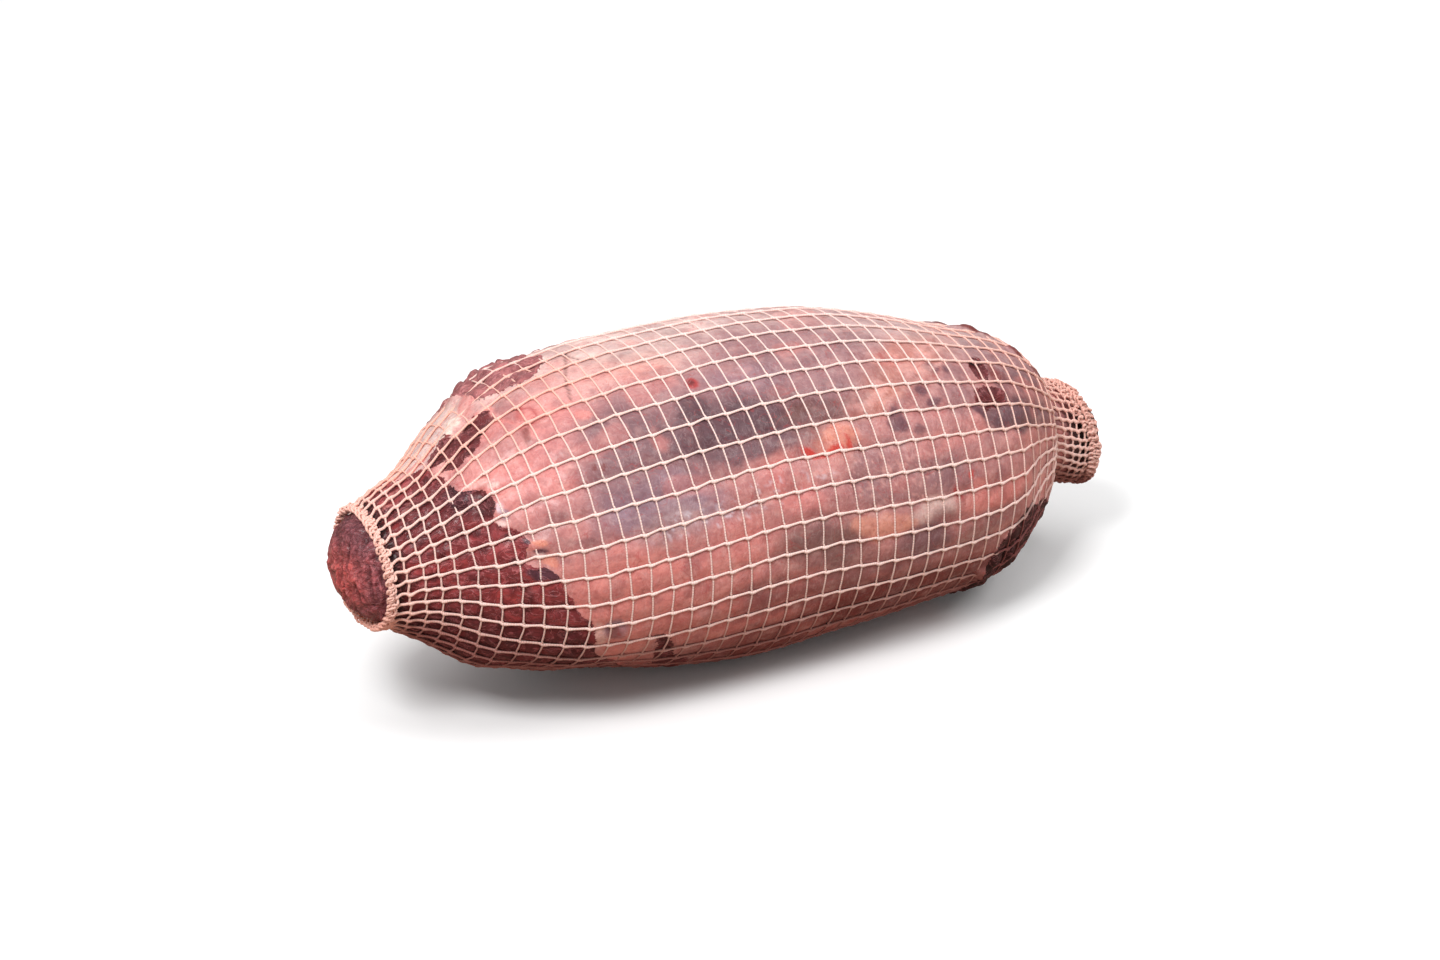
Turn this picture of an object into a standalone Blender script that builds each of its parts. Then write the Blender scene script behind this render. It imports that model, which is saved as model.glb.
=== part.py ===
"""A boneless roast, rolled into a spindle and held in an elastic net.

Metres, +Z up.  +X runs along the roast, from the flat ground end to the end
with the gathered collar.  The origin lies on the surface that the roast rests
on, under the middle of its bounding box.

Two solids: the meat, with a pillow swelling through every opening of the net,
and the net itself, whose two mouths leave the ends of the meat open.
"""

import math

import bmesh
import bpy
import numpy as np
from mathutils import Vector, noise

MM = 0.001

# ---------------------------------------------------------------- driving sizes
# Sections of the roast along its length, in millimetres:
# station, half width, half height, height of the axis.
SECTIONS = (
    (-155.0, 22.0, 22.0, 65.0),  # mouth of the net at the ground end
    (-138.0, 29.0, 28.5, 66.5),
    (-114.0, 46.5, 46.5, 66.5),
    (-84.0, 60.5, 60.0, 65.5),
    (-49.0, 64.0, 63.5, 65.0),
    (-8.0, 64.5, 63.5, 64.5),
    (34.0, 65.0, 62.5, 62.0),
    (72.0, 60.5, 58.0, 59.0),
    (102.0, 51.5, 50.5, 57.0),
    (121.0, 42.0, 42.0, 57.0),
    (133.0, 31.0, 31.5, 56.5),
    (140.0, 20.5, 20.5, 54.0),  # neck of the collar
    (149.0, 21.0, 20.5, 50.0),
    (160.0, 18.0, 18.0, 46.5),  # mouth of the net at the collar
)

# Broad swells and hollows of the rolled muscle: station and reach along the
# roast in millimetres, angle and reach round it in degrees, height in
# millimetres.  Angles run from the top towards -Y.
SWELLS = (
    (-37.0, 70.0, -36.0, 24.0, 3.0),
    (96.0, 34.0, -14.0, 34.0, -3.4),
    (-79.0, 30.0, 150.0, 26.0, -6.6),
    (-128.0, 17.0, 155.0, 32.0, 4.4),
    (-6.0, 28.0, 150.0, 28.0, 3.0),
    (58.0, 34.0, -120.0, 36.0, 2.0),
    (-72.0, 30.0, -95.0, 34.0, -1.8),
)

NET_COLUMNS = 17
NET_ROWS = 23
CORD_THICKNESS = 1.9 * MM
RIM_THICKNESS = 3.4 * MM
FIRST_CORD_ANGLE = math.radians(57.5)
MID_TWIST = math.radians(-10.5)
END_TWIST = math.radians(-4.7)
RING_LEAN = 4.0 * MM
CLOSE_PITCH = 0.3
CLOSE_REACH = 35.0 * MM

MEAT_DEPTH = 2.2 * MM
MOUTH_TUCK = 2.0 * MM
MOUTH_TUCK_REACH = 8.0 * MM
PILLOW_SHARE = 0.18
FLOOR_GAP = 0.4 * MM
DOME_HEIGHTS = {"ground end": 12.5 * MM, "collar end": 7.0 * MM}
DOME_ROWS = 3
DOME_ROUGHNESS = 0.9 * MM
DOME_GRAIN = 6.0 * MM

COLLECTION_NAME = "netted_roast"


# --------------------------------------------------------------------- the form
def smooth_slopes(stations, values):
    """Slopes of a curve through the values that never overshoots them."""
    steps = np.diff(stations)
    rises = np.diff(values) / steps
    slopes = np.zeros(len(values))
    slopes[0] = rises[0]
    slopes[-1] = rises[-1]
    for i in range(1, len(values) - 1):
        if rises[i - 1] * rises[i] > 0.0:
            before = 2.0 * steps[i] + steps[i - 1]
            after = steps[i] + 2.0 * steps[i - 1]
            slopes[i] = (before + after) / (before / rises[i - 1] + after / rises[i])
    return slopes


class SmoothCurve:
    """A smooth curve through named values at rising stations."""

    def __init__(self, stations, values):
        self.stations = np.asarray(stations)
        self.values = np.asarray(values)
        self.slopes = smooth_slopes(self.stations, self.values)

    def at(self, station):
        last = len(self.stations) - 2
        i = int(np.clip(np.searchsorted(self.stations, station) - 1, 0, last))
        span = self.stations[i + 1] - self.stations[i]
        u = min(max((station - self.stations[i]) / span, 0.0), 1.0)
        start = (1.0 + 2.0 * u) * (1.0 - u) ** 2
        leave = u * (1.0 - u) ** 2 * span
        end = u * u * (3.0 - 2.0 * u)
        arrive = u * u * (u - 1.0) * span
        return (
            start * self.values[i]
            + leave * self.slopes[i]
            + end * self.values[i + 1]
            + arrive * self.slopes[i + 1]
        )


section_table = np.array(SECTIONS) * MM
stations = section_table[:, 0]
half_width = SmoothCurve(stations, section_table[:, 1])
half_height = SmoothCurve(stations, section_table[:, 2])
axis_height = SmoothCurve(stations, section_table[:, 3])
LEFT_MOUTH = stations[0]
RIGHT_MOUTH = stations[-1]


def swell(x, angle):
    """Height of the broad swells at this place on the roast."""
    total = 0.0
    for station, reach, centre, spread, height in SWELLS:
        along = (x / MM - station) / reach
        turn = math.degrees(angle) - centre
        around = ((turn + 180.0) % 360.0 - 180.0) / spread
        total += height * MM * math.exp(-along * along - around * around)
    return total


def surface_point(x, angle, depth, scale=1.0, section_x=None):
    """A point below the middle of the net's thickness, never under the floor."""
    station = x if section_x is None else section_x
    lift = swell(station, angle) - depth
    reach_y = (half_width.at(station) + lift) * scale
    reach_z = (half_height.at(station) + lift) * scale
    z = axis_height.at(station) + reach_z * math.cos(angle)
    return Vector((x, -reach_y * math.sin(angle), max(z, 0.5 * CORD_THICKNESS + depth)))


def ring_stations():
    """Stations of the net's rings, evenly spread over the curved surface.

    The rings lie closer together near the mouth at the ground end.
    """
    fine = np.linspace(LEFT_MOUTH, RIGHT_MOUTH, 600)
    radii = np.array([half_height.at(x) for x in fine])
    steps = np.hypot(np.diff(fine), np.diff(radii))
    middles = 0.5 * (fine[1:] + fine[:-1]) - LEFT_MOUTH
    steps = steps / (1.0 - CLOSE_PITCH * np.exp(-middles / CLOSE_REACH))
    travelled = np.concatenate([[0.0], np.cumsum(steps)])
    wanted = np.linspace(0.0, travelled[-1], NET_ROWS)
    return np.interp(wanted, travelled, fine)


def cord_twist(x):
    """Turn of the lengthwise cords round the roast, from mouth to mouth."""
    share = (x - LEFT_MOUTH) / (RIGHT_MOUTH - LEFT_MOUTH)
    bend = END_TWIST - 2.0 * MID_TWIST
    return share * (END_TWIST + 2.0 * bend * (share - 1.0))


def net_point(x, column, depth):
    """Where a ring at this station crosses a lengthwise cord."""
    angle = FIRST_CORD_ANGLE + column * 2.0 * math.pi / NET_COLUMNS
    fullness = (half_height.at(x) - half_height.values[0]) / half_height.values.max()
    leaning = x - RING_LEAN * max(fullness, 0.0) * math.cos(angle)
    return surface_point(leaning, angle + cord_twist(leaning), depth)


# ------------------------------------------------------------------ mesh helpers
def mapped_tube(rows, place):
    """A tube from a flat grid: place(row, column) gives each corner."""
    bm = bmesh.new()
    bmesh.ops.create_grid(
        bm,
        x_segments=rows - 1,
        y_segments=NET_COLUMNS,
        size=0.5,
    )
    for vert in bm.verts:
        row = round((vert.co.x + 0.5) * (rows - 1))
        column = round((vert.co.y + 0.5) * NET_COLUMNS) % NET_COLUMNS
        vert.co = place(row, column)
    bmesh.ops.remove_doubles(bm, verts=bm.verts, dist=0.00001)
    bmesh.ops.recalc_face_normals(bm, faces=bm.faces)
    return bm


def new_object(name, bm, collection, material):
    """The bmesh as a named object with its own material."""
    mesh = bpy.data.meshes.new(name)
    bm.to_mesh(mesh)
    bm.free()
    obj = bpy.data.objects.new(name, mesh)
    obj.data.materials.append(material)
    collection.objects.link(obj)
    return obj


def new_material(name, colour, roughness):
    material = bpy.data.materials.new(name)
    material.use_nodes = True
    shader = material.node_tree.nodes["Principled BSDF"]
    shader.inputs["Base Color"].default_value = (*colour, 1.0)
    shader.inputs["Roughness"].default_value = roughness
    shader.inputs["Metallic"].default_value = 0.0
    material.diffuse_color = (*colour, 1.0)
    return material


# ---------------------------------------------------------------------- the meat
def meat_depth(x):
    """How far the meat lies below the net, more where a thick rim holds it in."""
    away = min(abs(x - LEFT_MOUTH), abs(x - RIGHT_MOUTH)) / MOUTH_TUCK_REACH
    return MEAT_DEPTH + MOUTH_TUCK * math.exp(-away * away)


def dome_row(row, column, mouth, outward, height):
    """A corner of one rounded end, row 1 next to the mouth."""
    quarter = 0.5 * math.pi * row / (DOME_ROWS + 0.35)
    angle = FIRST_CORD_ANGLE + column * 2.0 * math.pi / NET_COLUMNS + cord_twist(mouth)
    x = mouth + outward * height * math.sin(quarter)
    point = surface_point(x, angle, meat_depth(mouth), math.cos(quarter), mouth)
    grain = noise.noise(point / DOME_GRAIN)
    point.x += outward * DOME_ROUGHNESS * grain
    return point


def build_meat(collection):
    """The rolled meat: a pillow in each opening of the net, and rounded ends."""
    rings = ring_stations()
    rows = len(rings) + 2 * DOME_ROWS

    def place(row, column):
        if row < DOME_ROWS:
            height = DOME_HEIGHTS["ground end"]
            return dome_row(DOME_ROWS - row, column, LEFT_MOUTH, -1.0, height)
        if row >= rows - DOME_ROWS:
            height = DOME_HEIGHTS["collar end"]
            return dome_row(row - (rows - 1 - DOME_ROWS), column, RIGHT_MOUTH, 1.0, height)
        station = rings[row - DOME_ROWS]
        return net_point(station, column, meat_depth(station))

    bm = mapped_tube(rows, place)
    pillows = [f for f in bm.faces if LEFT_MOUTH < f.calc_center_median().x < RIGHT_MOUTH]
    for pillow in pillows:
        rise = PILLOW_SHARE * math.sqrt(pillow.calc_area())
        crest = bmesh.ops.poke(bm, faces=[pillow], offset=rise)["verts"][0]
        crest.co.z = max(crest.co.z, FLOOR_GAP)
    rims = [edge for edge in bm.edges if edge.is_boundary]
    caps = bmesh.ops.holes_fill(bm, edges=rims, sides=0)["faces"]
    bmesh.ops.poke(bm, faces=caps)
    bmesh.ops.recalc_face_normals(bm, faces=bm.faces)
    material = new_material("raw_meat", (0.30, 0.055, 0.055), 0.35)
    meat = new_object("meat", bm, collection, material)
    meat.data.shade_smooth()
    return meat


# ----------------------------------------------------------------------- the net
def build_net(collection):
    """The elastic net: cords along and round the roast, gathered at both mouths."""
    rings = ring_stations()
    bm = mapped_tube(len(rings), lambda row, column: net_point(rings[row], column, 0.0))
    material = new_material("elastic_net", (0.82, 0.50, 0.43), 0.6)
    net = new_object("net", bm, collection, material)

    rim = net.vertex_groups.new(name="rims")
    ends = (LEFT_MOUTH, RIGHT_MOUTH)
    near = [v.index for v in net.data.vertices if min(abs(v.co.x - x) for x in ends) < 1.0 * MM]
    rim.add(near, 1.0, "REPLACE")

    cords = net.modifiers.new("cords", "WIREFRAME")
    cords.thickness = RIM_THICKNESS
    cords.use_even_offset = True
    cords.use_boundary = True
    cords.vertex_group = "rims"
    cords.thickness_vertex_group = CORD_THICKNESS / RIM_THICKNESS
    return net


def main():
    for old in list(bpy.data.objects):
        bpy.data.objects.remove(old, do_unlink=True)
    collection = bpy.data.collections.new(COLLECTION_NAME)
    bpy.context.scene.collection.children.link(collection)
    build_meat(collection)
    build_net(collection)


main()
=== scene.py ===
# %% [markdown]
# # A netted boneless roast
# A butcher bones a joint, rolls it into a spindle and pulls it through a tube of elastic net.
# The net bites into the meat, so every opening of it holds a small pillow of flesh.
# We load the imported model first: it fixes the size and the place of everything that follows.

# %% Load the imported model
import math

import bpy
import numpy as np
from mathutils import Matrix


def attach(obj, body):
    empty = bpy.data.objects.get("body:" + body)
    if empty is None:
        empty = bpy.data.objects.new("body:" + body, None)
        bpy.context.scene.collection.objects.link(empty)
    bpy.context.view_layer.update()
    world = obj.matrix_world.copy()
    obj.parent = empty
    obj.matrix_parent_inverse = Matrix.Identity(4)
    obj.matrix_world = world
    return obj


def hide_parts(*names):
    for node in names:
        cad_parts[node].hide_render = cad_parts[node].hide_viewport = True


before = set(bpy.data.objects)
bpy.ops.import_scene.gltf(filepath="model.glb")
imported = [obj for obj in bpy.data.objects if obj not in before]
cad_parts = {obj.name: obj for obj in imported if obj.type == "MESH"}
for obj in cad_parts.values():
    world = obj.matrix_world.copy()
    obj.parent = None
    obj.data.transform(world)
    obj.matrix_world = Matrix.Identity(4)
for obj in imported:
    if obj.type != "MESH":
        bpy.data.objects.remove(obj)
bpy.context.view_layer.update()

MM = 0.001
print("nodes:", sorted(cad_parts))

# %% [markdown]
# ## The camera
# A roast like this is shown from a little above, with a long lens so that its near end isn't
# swollen. Blender's camera looks down its own -Z axis, so a camera that looks level along +Y is
# turned 90 degrees about X. We turn it less to look down, and then swing it about the upright axis.

# %% Place the camera
CAMERA_PLACE = (-0.7184, -1.2568, 0.7963)
CAMERA_DIP = math.radians(26.8)
CAMERA_SWING = math.radians(29.6)
LENS = 105.0
SENSOR_WIDTH = 36.0


def add_camera():
    """A long lens that looks down on the roast from its ground end."""
    view = bpy.data.cameras.new("camera")
    view.lens = LENS
    view.sensor_width = SENSOR_WIDTH
    camera = bpy.data.objects.new("camera", view)
    camera.location = CAMERA_PLACE
    camera.rotation_euler = (math.pi / 2.0 - CAMERA_DIP, 0.0, -CAMERA_SWING)
    bpy.context.scene.collection.objects.link(camera)
    bpy.context.scene.camera = camera
    return camera


camera = add_camera()
print("camera:", camera.name, "lens", camera.data.lens, "mm")

# %% [markdown]
# ## The form of the roast
# The roast is a spindle: fat in the middle, cut flat at the ground end and gathered into a collar at
# the other. It could be sculpted, but a few measured sections joined by smooth curves keep it exact,
# and they are the same sections that the solids have. A place on it is a station along X and an angle
# that starts at the top and turns towards -Y. Broad swells make it uneven, as rolled muscle is. The
# solids have the first seven of them, and the others belong to this one roast.

# %% Sections and swells
# station, half width, half height and height of the axis, all in millimetres
SECTIONS = (
    (-155.0, 22.0, 22.0, 65.0),
    (-138.0, 29.0, 28.5, 66.5),
    (-114.0, 46.5, 46.5, 66.5),
    (-84.0, 60.5, 60.0, 65.5),
    (-49.0, 64.0, 63.5, 65.0),
    (-8.0, 64.5, 63.5, 64.5),
    (34.0, 65.0, 62.5, 62.0),
    (72.0, 60.5, 58.0, 59.0),
    (102.0, 51.5, 50.5, 57.0),
    (121.0, 42.0, 42.0, 57.0),
    (133.0, 31.0, 31.5, 56.5),
    (140.0, 20.5, 20.5, 54.0),
    (149.0, 21.0, 20.5, 50.0),
    (160.0, 18.0, 18.0, 46.5),
)
# station and reach along the roast, angle and reach round it in degrees, height
SWELLS = (
    (-37.0, 70.0, -36.0, 24.0, 3.0),
    (96.0, 34.0, -14.0, 34.0, -3.4),
    (-79.0, 30.0, 150.0, 26.0, -6.6),
    (-128.0, 17.0, 155.0, 32.0, 4.4),
    (-6.0, 28.0, 150.0, 28.0, 3.0),
    (58.0, 34.0, -120.0, 36.0, 2.0),
    (-72.0, 30.0, -95.0, 34.0, -1.8),
    (-157.0, 9.0, 180.0, 50.0, -4.5),
    (-147.0, 15.0, -24.0, 60.0, 2.6),
    (-88.0, 13.0, -37.0, 14.0, 1.8),
    (123.0, 14.0, 86.0, 42.0, -7.5),
    (106.0, 26.0, 136.0, 24.0, 4.2),
)
print("sections:", len(SECTIONS), "and swells:", len(SWELLS))

# %% Smooth curves through the sections


class SmoothCurve:
    """A smooth curve through values at rising stations, which never overshoots them."""

    def __init__(self, stations, values):
        self.stations = np.asarray(stations, float)
        self.values = np.asarray(values, float)
        steps = np.diff(self.stations)
        rises = np.diff(self.values) / steps
        self.slopes = np.zeros(len(self.values))
        self.slopes[0] = rises[0]
        self.slopes[-1] = rises[-1]
        for i in range(1, len(self.values) - 1):
            if rises[i - 1] * rises[i] > 0.0:
                before = 2.0 * steps[i] + steps[i - 1]
                after = steps[i] + 2.0 * steps[i - 1]
                self.slopes[i] = (before + after) / (before / rises[i - 1] + after / rises[i])

    def at(self, station):
        """The value at a station, held at the ends."""
        station = np.asarray(station, float)
        i = np.clip(np.searchsorted(self.stations, station) - 1, 0, len(self.stations) - 2)
        span = self.stations[i + 1] - self.stations[i]
        u = np.clip((station - self.stations[i]) / span, 0.0, 1.0)
        # the two values and the two slopes at the ends of this span, each with its own weight
        start = (1.0 + 2.0 * u) * (1.0 - u) ** 2 * self.values[i]
        leave = u * (1.0 - u) ** 2 * span * self.slopes[i]
        end = u * u * (3.0 - 2.0 * u) * self.values[i + 1]
        arrive = u * u * (u - 1.0) * span * self.slopes[i + 1]
        return start + leave + end + arrive


section_table = np.array(SECTIONS) * MM
half_width = SmoothCurve(section_table[:, 0], section_table[:, 1])
half_height = SmoothCurve(section_table[:, 0], section_table[:, 2])
axis_height = SmoothCurve(section_table[:, 0], section_table[:, 3])
GROUND_MOUTH = section_table[0, 0]
COLLAR_MOUTH = section_table[-1, 0]
print("mouths of the net at", GROUND_MOUTH, "and", COLLAR_MOUTH, "m along the roast")

# %% Points and normals of the form


def half_turn(degrees):
    """The same direction, brought between -180 and 180 degrees."""
    return (degrees + 180.0) % 360.0 - 180.0


def swell(x, angle):
    """Height of the broad swells at this place on the roast."""
    total = 0.0
    for station, reach, centre, spread, height in SWELLS:
        along = (x / MM - station) / reach
        around = half_turn(np.degrees(angle) - centre) / spread
        total = total + height * MM * np.exp(-along * along - around * around)
    return total


def surface_point(x, angle, depth=0.0):
    """A point this deep below the middle of the net's thickness."""
    rise = swell(x, angle) - depth
    y = -(half_width.at(x) + rise) * np.sin(angle)
    z = axis_height.at(x) + (half_height.at(x) + rise) * np.cos(angle)
    return np.stack([x + 0.0 * y, y, z], axis=-1)


def unit(vectors):
    """Vectors of length one."""
    return vectors / np.maximum(np.linalg.norm(vectors, axis=-1, keepdims=True), 1e-12)


def surface_normal(x, angle):
    """The outward direction, from two short steps on the surface."""
    step = 0.2 * MM
    turn = 0.004
    along = surface_point(x + step, angle) - surface_point(x - step, angle)
    around = surface_point(x, angle + turn) - surface_point(x, angle - turn)
    return unit(np.cross(around, along))


top = surface_point(np.array([0.0]), np.array([0.0]))[0]
print("top of the middle section:", [round(float(c), 4) for c in top])

# %% [markdown]
# ## The layout of the net
# The net is knitted as a tube: 34 stout cords run lengthwise, and thin ring threads tie them. Pulled
# over the spindle, it stretches in the middle and stays bunched at the mouths. A net could be
# wrapped round the meat with modifiers, but then the pillows of flesh wouldn't know where its openings
# are. So the crossings are worked out first, and both the net and the meat are built on them.

# %% Cords and rings
CORDS = 34
FIRST_CORD = math.radians(57.5)
MID_TWIST = math.radians(-10.5)
END_TWIST = math.radians(-4.7)
# station and distance from ring to ring, in millimetres
RING_PITCH = (
    (-155.0, 5.3),
    (-132.0, 5.7),
    (-110.0, 6.9),
    (-80.0, 7.9),
    (-40.0, 8.2),
    (0.0, 7.9),
    (60.0, 7.65),
    (100.0, 7.1),
    (122.0, 6.3),
    (134.0, 4.7),
    (146.0, 3.4),
    (160.0, 3.1),
)
# station and how far the rings lean along the roast from their bottom to their top
RING_LEAN = ((-155.0, 1.0), (-80.0, 3.4), (-20.0, 4.9), (60.0, 3.0), (120.0, 0.8), (160.0, 0.0))
MIDDLE_RING = -36.1 * MM
HAND_SLACK = 0.42 * MM
# no ring is added once the last one is as near to a mouth as this
MOUTH_ROOM = 3.0 * MM


def net_rings():
    """Stations of the rings, stepped out from the middle one by the pitch there."""
    pitch = SmoothCurve(*(np.array(RING_PITCH) * MM).T)
    rings = [MIDDLE_RING]
    while rings[-1] < COLLAR_MOUTH - MOUTH_ROOM:
        rings.append(rings[-1] + pitch.at(rings[-1] + 0.5 * pitch.at(rings[-1])))
    while rings[0] > GROUND_MOUTH + MOUTH_ROOM:
        rings.insert(0, rings[0] - pitch.at(rings[0] - 0.5 * pitch.at(rings[0])))
    return np.array(rings)


def cord_twist(x):
    """How far the cords have turned round the roast at this station."""
    share = (x - GROUND_MOUTH) / (COLLAR_MOUTH - GROUND_MOUTH)
    bend = END_TWIST - 2.0 * MID_TWIST
    return share * (END_TWIST + 2.0 * bend * (share - 1.0))


rings = net_rings()
RINGS = len(rings)
ring_lean = SmoothCurve(*(np.array(RING_LEAN) * MM).T)
print("net:", CORDS, "cords and", RINGS, "rings")

# %% Crossings of cords and ring threads
slack = np.random.default_rng(34)
# where the net was dragged askew: station, angle, reach along and round, drag along and round
DRAGS = (
    (-112.0, 32.0, 34.0, 40.0, 0.0, -3.0),
    (134.0, 66.0, 20.0, 34.0, 0.0, 6.0),
    (120.0, 84.0, 17.0, 40.0, 4.0, 0.0),
    (60.0, 95.0, 40.0, 20.0, 0.0, 1.5),
    (100.0, 118.0, 32.0, 26.0, 0.0, 4.5),
    (-20.0, -80.0, 40.0, 30.0, 2.0, 2.5),
    (40.0, -120.0, 30.0, 30.0, -2.0, -2.0),
)


def net_crossings():
    """Station and angle of each crossing, with the small unevenness of a net pulled on by hand."""
    station, cord = np.meshgrid(rings, np.arange(CORDS), indexing="ij")
    angle = FIRST_CORD + cord * 2.0 * math.pi / CORDS + cord_twist(station)
    x = station - ring_lean.at(station) * np.cos(angle)
    turn = np.degrees(angle)
    for at_x, at_angle, reach, spread, along, around in DRAGS:
        pull = np.exp(-(((x / MM - at_x) / reach) ** 2) - (half_turn(turn - at_angle) / spread) ** 2)
        x = x + along * MM * pull
        angle = angle + math.radians(around) * pull
    x = x + HAND_SLACK * slack.uniform(-1.0, 1.0, x.shape)
    angle = angle + HAND_SLACK / half_width.at(x) * slack.uniform(-1.0, 1.0, x.shape)
    return x, angle


crossing_x, crossing_angle = net_crossings()
print("crossings:", crossing_x.size)

# %% Any place on the net


def on_net(ring, cord):
    """Station and angle of a place given in rings and cords, with fractions between them."""
    first_ring = np.clip(np.floor(ring).astype(int), 0, RINGS - 2)
    first_cord = np.floor(cord).astype(int)
    down = ring - first_ring
    across = cord - first_cord
    x = 0.0
    angle = 0.0
    for next_ring, ring_share in ((0, 1.0 - down), (1, down)):
        for next_cord, cord_share in ((0, 1.0 - across), (1, across)):
            turns, column = np.divmod(first_cord + next_cord, CORDS)
            share = ring_share * cord_share
            x = x + share * crossing_x[first_ring + next_ring, column]
            wound = crossing_angle[first_ring + next_ring, column] + turns * 2.0 * math.pi
            angle = angle + share * wound
    return x, angle


halfway = on_net(np.array([0.5 * RINGS]), np.array([0.5]))
print("halfway, between two cords, in metres and radians:", [round(float(c[0]), 3) for c in halfway])

# %% [markdown]
# ## Noise that stays put
# Flesh is never even. Blender has noise textures, but a mesh that is built point by point needs the
# same kind of noise in numpy. This one gives each corner of a lattice a fixed random value and blends
# between the corners. It works on points in space, so it has no seam round the roast.

# %% Lattice noise
HASH_PRIMES = (73856093, 19349663, 83492791)
SEED_SPREAD = 2654435761
HASH_SPREAD = 1274126177
HASH_SIZE = 2**32
# the lattice is moved this many cells, so that no cell on the roast has a number below zero
LATTICE_SHIFT = 4000.0


def lattice_value(cell, seed):
    """A fixed random value from -1 to 1 for each whole-numbered cell."""
    mixed = np.full(cell.shape[:-1], seed * SEED_SPREAD % HASH_SIZE, np.uint64)
    for axis, prime in enumerate(HASH_PRIMES):
        mixed = mixed ^ (cell[..., axis].astype(np.uint64) * np.uint64(prime))
    mixed = (mixed ^ (mixed >> np.uint64(13))) * np.uint64(HASH_SPREAD) % np.uint64(HASH_SIZE)
    mixed = (mixed ^ (mixed >> np.uint64(15))) * np.uint64(HASH_SPREAD) % np.uint64(HASH_SIZE)
    return mixed.astype(float) / (HASH_SIZE / 2.0) - 1.0


def lumps(points, size, seed, stretch=(1.0, 1.0, 1.0)):
    """Smooth noise from -1 to 1, with lumps of the given size."""
    scaled = points / (size * np.asarray(stretch)) + LATTICE_SHIFT
    cell = np.floor(scaled).astype(np.int64)
    part = scaled - cell
    part = part * part * (3.0 - 2.0 * part)
    total = np.zeros(points.shape[:-1])
    for corner in np.ndindex(2, 2, 2):
        share = np.ones(points.shape[:-1])
        for axis, side in enumerate(corner):
            share = share * (part[..., axis] if side else 1.0 - part[..., axis])
        total += share * lattice_value(cell + np.array(corner), seed)
    return total


def ease(low, high, value):
    """0 below low, 1 above high, and a smooth step between them."""
    share = np.clip((value - low) / (high - low), 0.0, 1.0)
    return share * share * (3.0 - 2.0 * share)


sample = lumps(np.random.default_rng(1).uniform(-1.0, 1.0, (500, 3)), 0.05, 3)
print("noise runs from", round(float(sample.min()), 2), "to", round(float(sample.max()), 2))

# %% [markdown]
# ## The points of the meat
# Every opening of the net gets the same small grid of points, so a row of points always lies under
# each thread and each cord. Between them the flesh rises in a pillow. The finer the grid, the finer
# the relief and the painting that it can carry.

# %% Lay out the meat's grid
ROUND_STEPS = 12
LONG_STEPS = 9
columns = CORDS * ROUND_STEPS
rows = (RINGS - 1) * LONG_STEPS + 1
ring_place, cord_place = np.meshgrid(
    np.arange(rows) / LONG_STEPS, np.arange(columns) / ROUND_STEPS, indexing="ij"
)
meat_x, meat_angle = on_net(ring_place, cord_place)
skin = surface_point(meat_x, meat_angle)
station_mm = meat_x / MM
angle_deg = half_turn(np.degrees(meat_angle))
off_top = np.abs(angle_deg)
# painted edges wander, so what is painted reads places shifted by noise of two sizes
wander_x = station_mm + 2.6 * lumps(skin, 9.0 * MM, 11) + 1.1 * lumps(skin, 3.4 * MM, 12)
wander_angle = angle_deg + 2.4 * lumps(skin, 9.0 * MM, 13) + 1.0 * lumps(skin, 3.4 * MM, 14)
print("meat grid:", rows, "by", columns, "points")

# %% [markdown]
# ## Where the meat is bare
# Most of the roast is wrapped in its own silvery membrane. At the ground end, and low down at the
# collar end, the membrane stops and dark bare muscle shows. The ground end's edge is given by a few
# angles and the station where the membrane stops, and the hanging flap's by how far it reaches round
# from its middle. Windows in the membrane are ellipses on the unrolled surface. Painting the two meats
# as one would blur the edge. So each point carries how many millimetres it lies inside the bare meat,
# and the material cuts a crisp edge there between two paintings.

# %% The edge at the ground end
# angle in degrees and station in millimetres, from one side of the top round to the same place
GROUND_END_EDGE = (
    (-60.0, -147.0),
    (-30.0, -144.0),
    (-12.0, -139.0),
    (-4.0, -128.5),
    (17.0, -127.0),
    (30.0, -124.0),
    (38.0, -119.0),
    (45.0, -116.0),
    (52.0, -117.0),
    (58.0, -114.0),
    (64.0, -108.5),
    (71.0, -110.5),
    (76.0, -110.0),
    (80.0, -102.5),
    (86.0, -102.0),
    (91.0, -98.5),
    (102.0, -92.0),
    (113.0, -90.0),
    (122.0, -84.0),
    (131.0, -75.0),
    (141.0, -67.0),
    (155.0, -64.0),
    (172.0, -77.0),
    (195.0, -92.0),
    (220.0, -101.0),
    (245.0, -114.0),
    (270.0, -124.0),
    (288.0, -137.0),
    (300.0, -147.0),
)


def edge_station(edge, angle):
    """Where an edge lies, in millimetres, at angles given in degrees."""
    angles, stations = np.array(edge).T
    first = angles[0]
    return np.interp((angle - first) % 360.0 + first, angles, stations)


ground_reach = edge_station(GROUND_END_EDGE, wander_angle) - wander_x
print("points in the bare ground end:", int((ground_reach > 0.0).sum()))

# %% The hanging flap at the collar end
# under the collar end a flap of bare meat hangs: station, and how far it reaches round from its middle
FLAP_MIDDLE = 168.0
# millimetres to a degree round the roast there, and what stands for a place well outside
FLAP_ARC = 0.75
OUTSIDE = -10.0
COLLAR_FLAP = (
    (79.0, -10.0),
    (84.0, 32.0),
    (87.0, 50.0),
    (92.0, 59.5),
    (100.0, 66.0),
    (111.0, 67.0),
    (119.0, 59.0),
    (129.0, 46.0),
    (139.0, 30.0),
    (147.0, 0.0),
)


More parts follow.
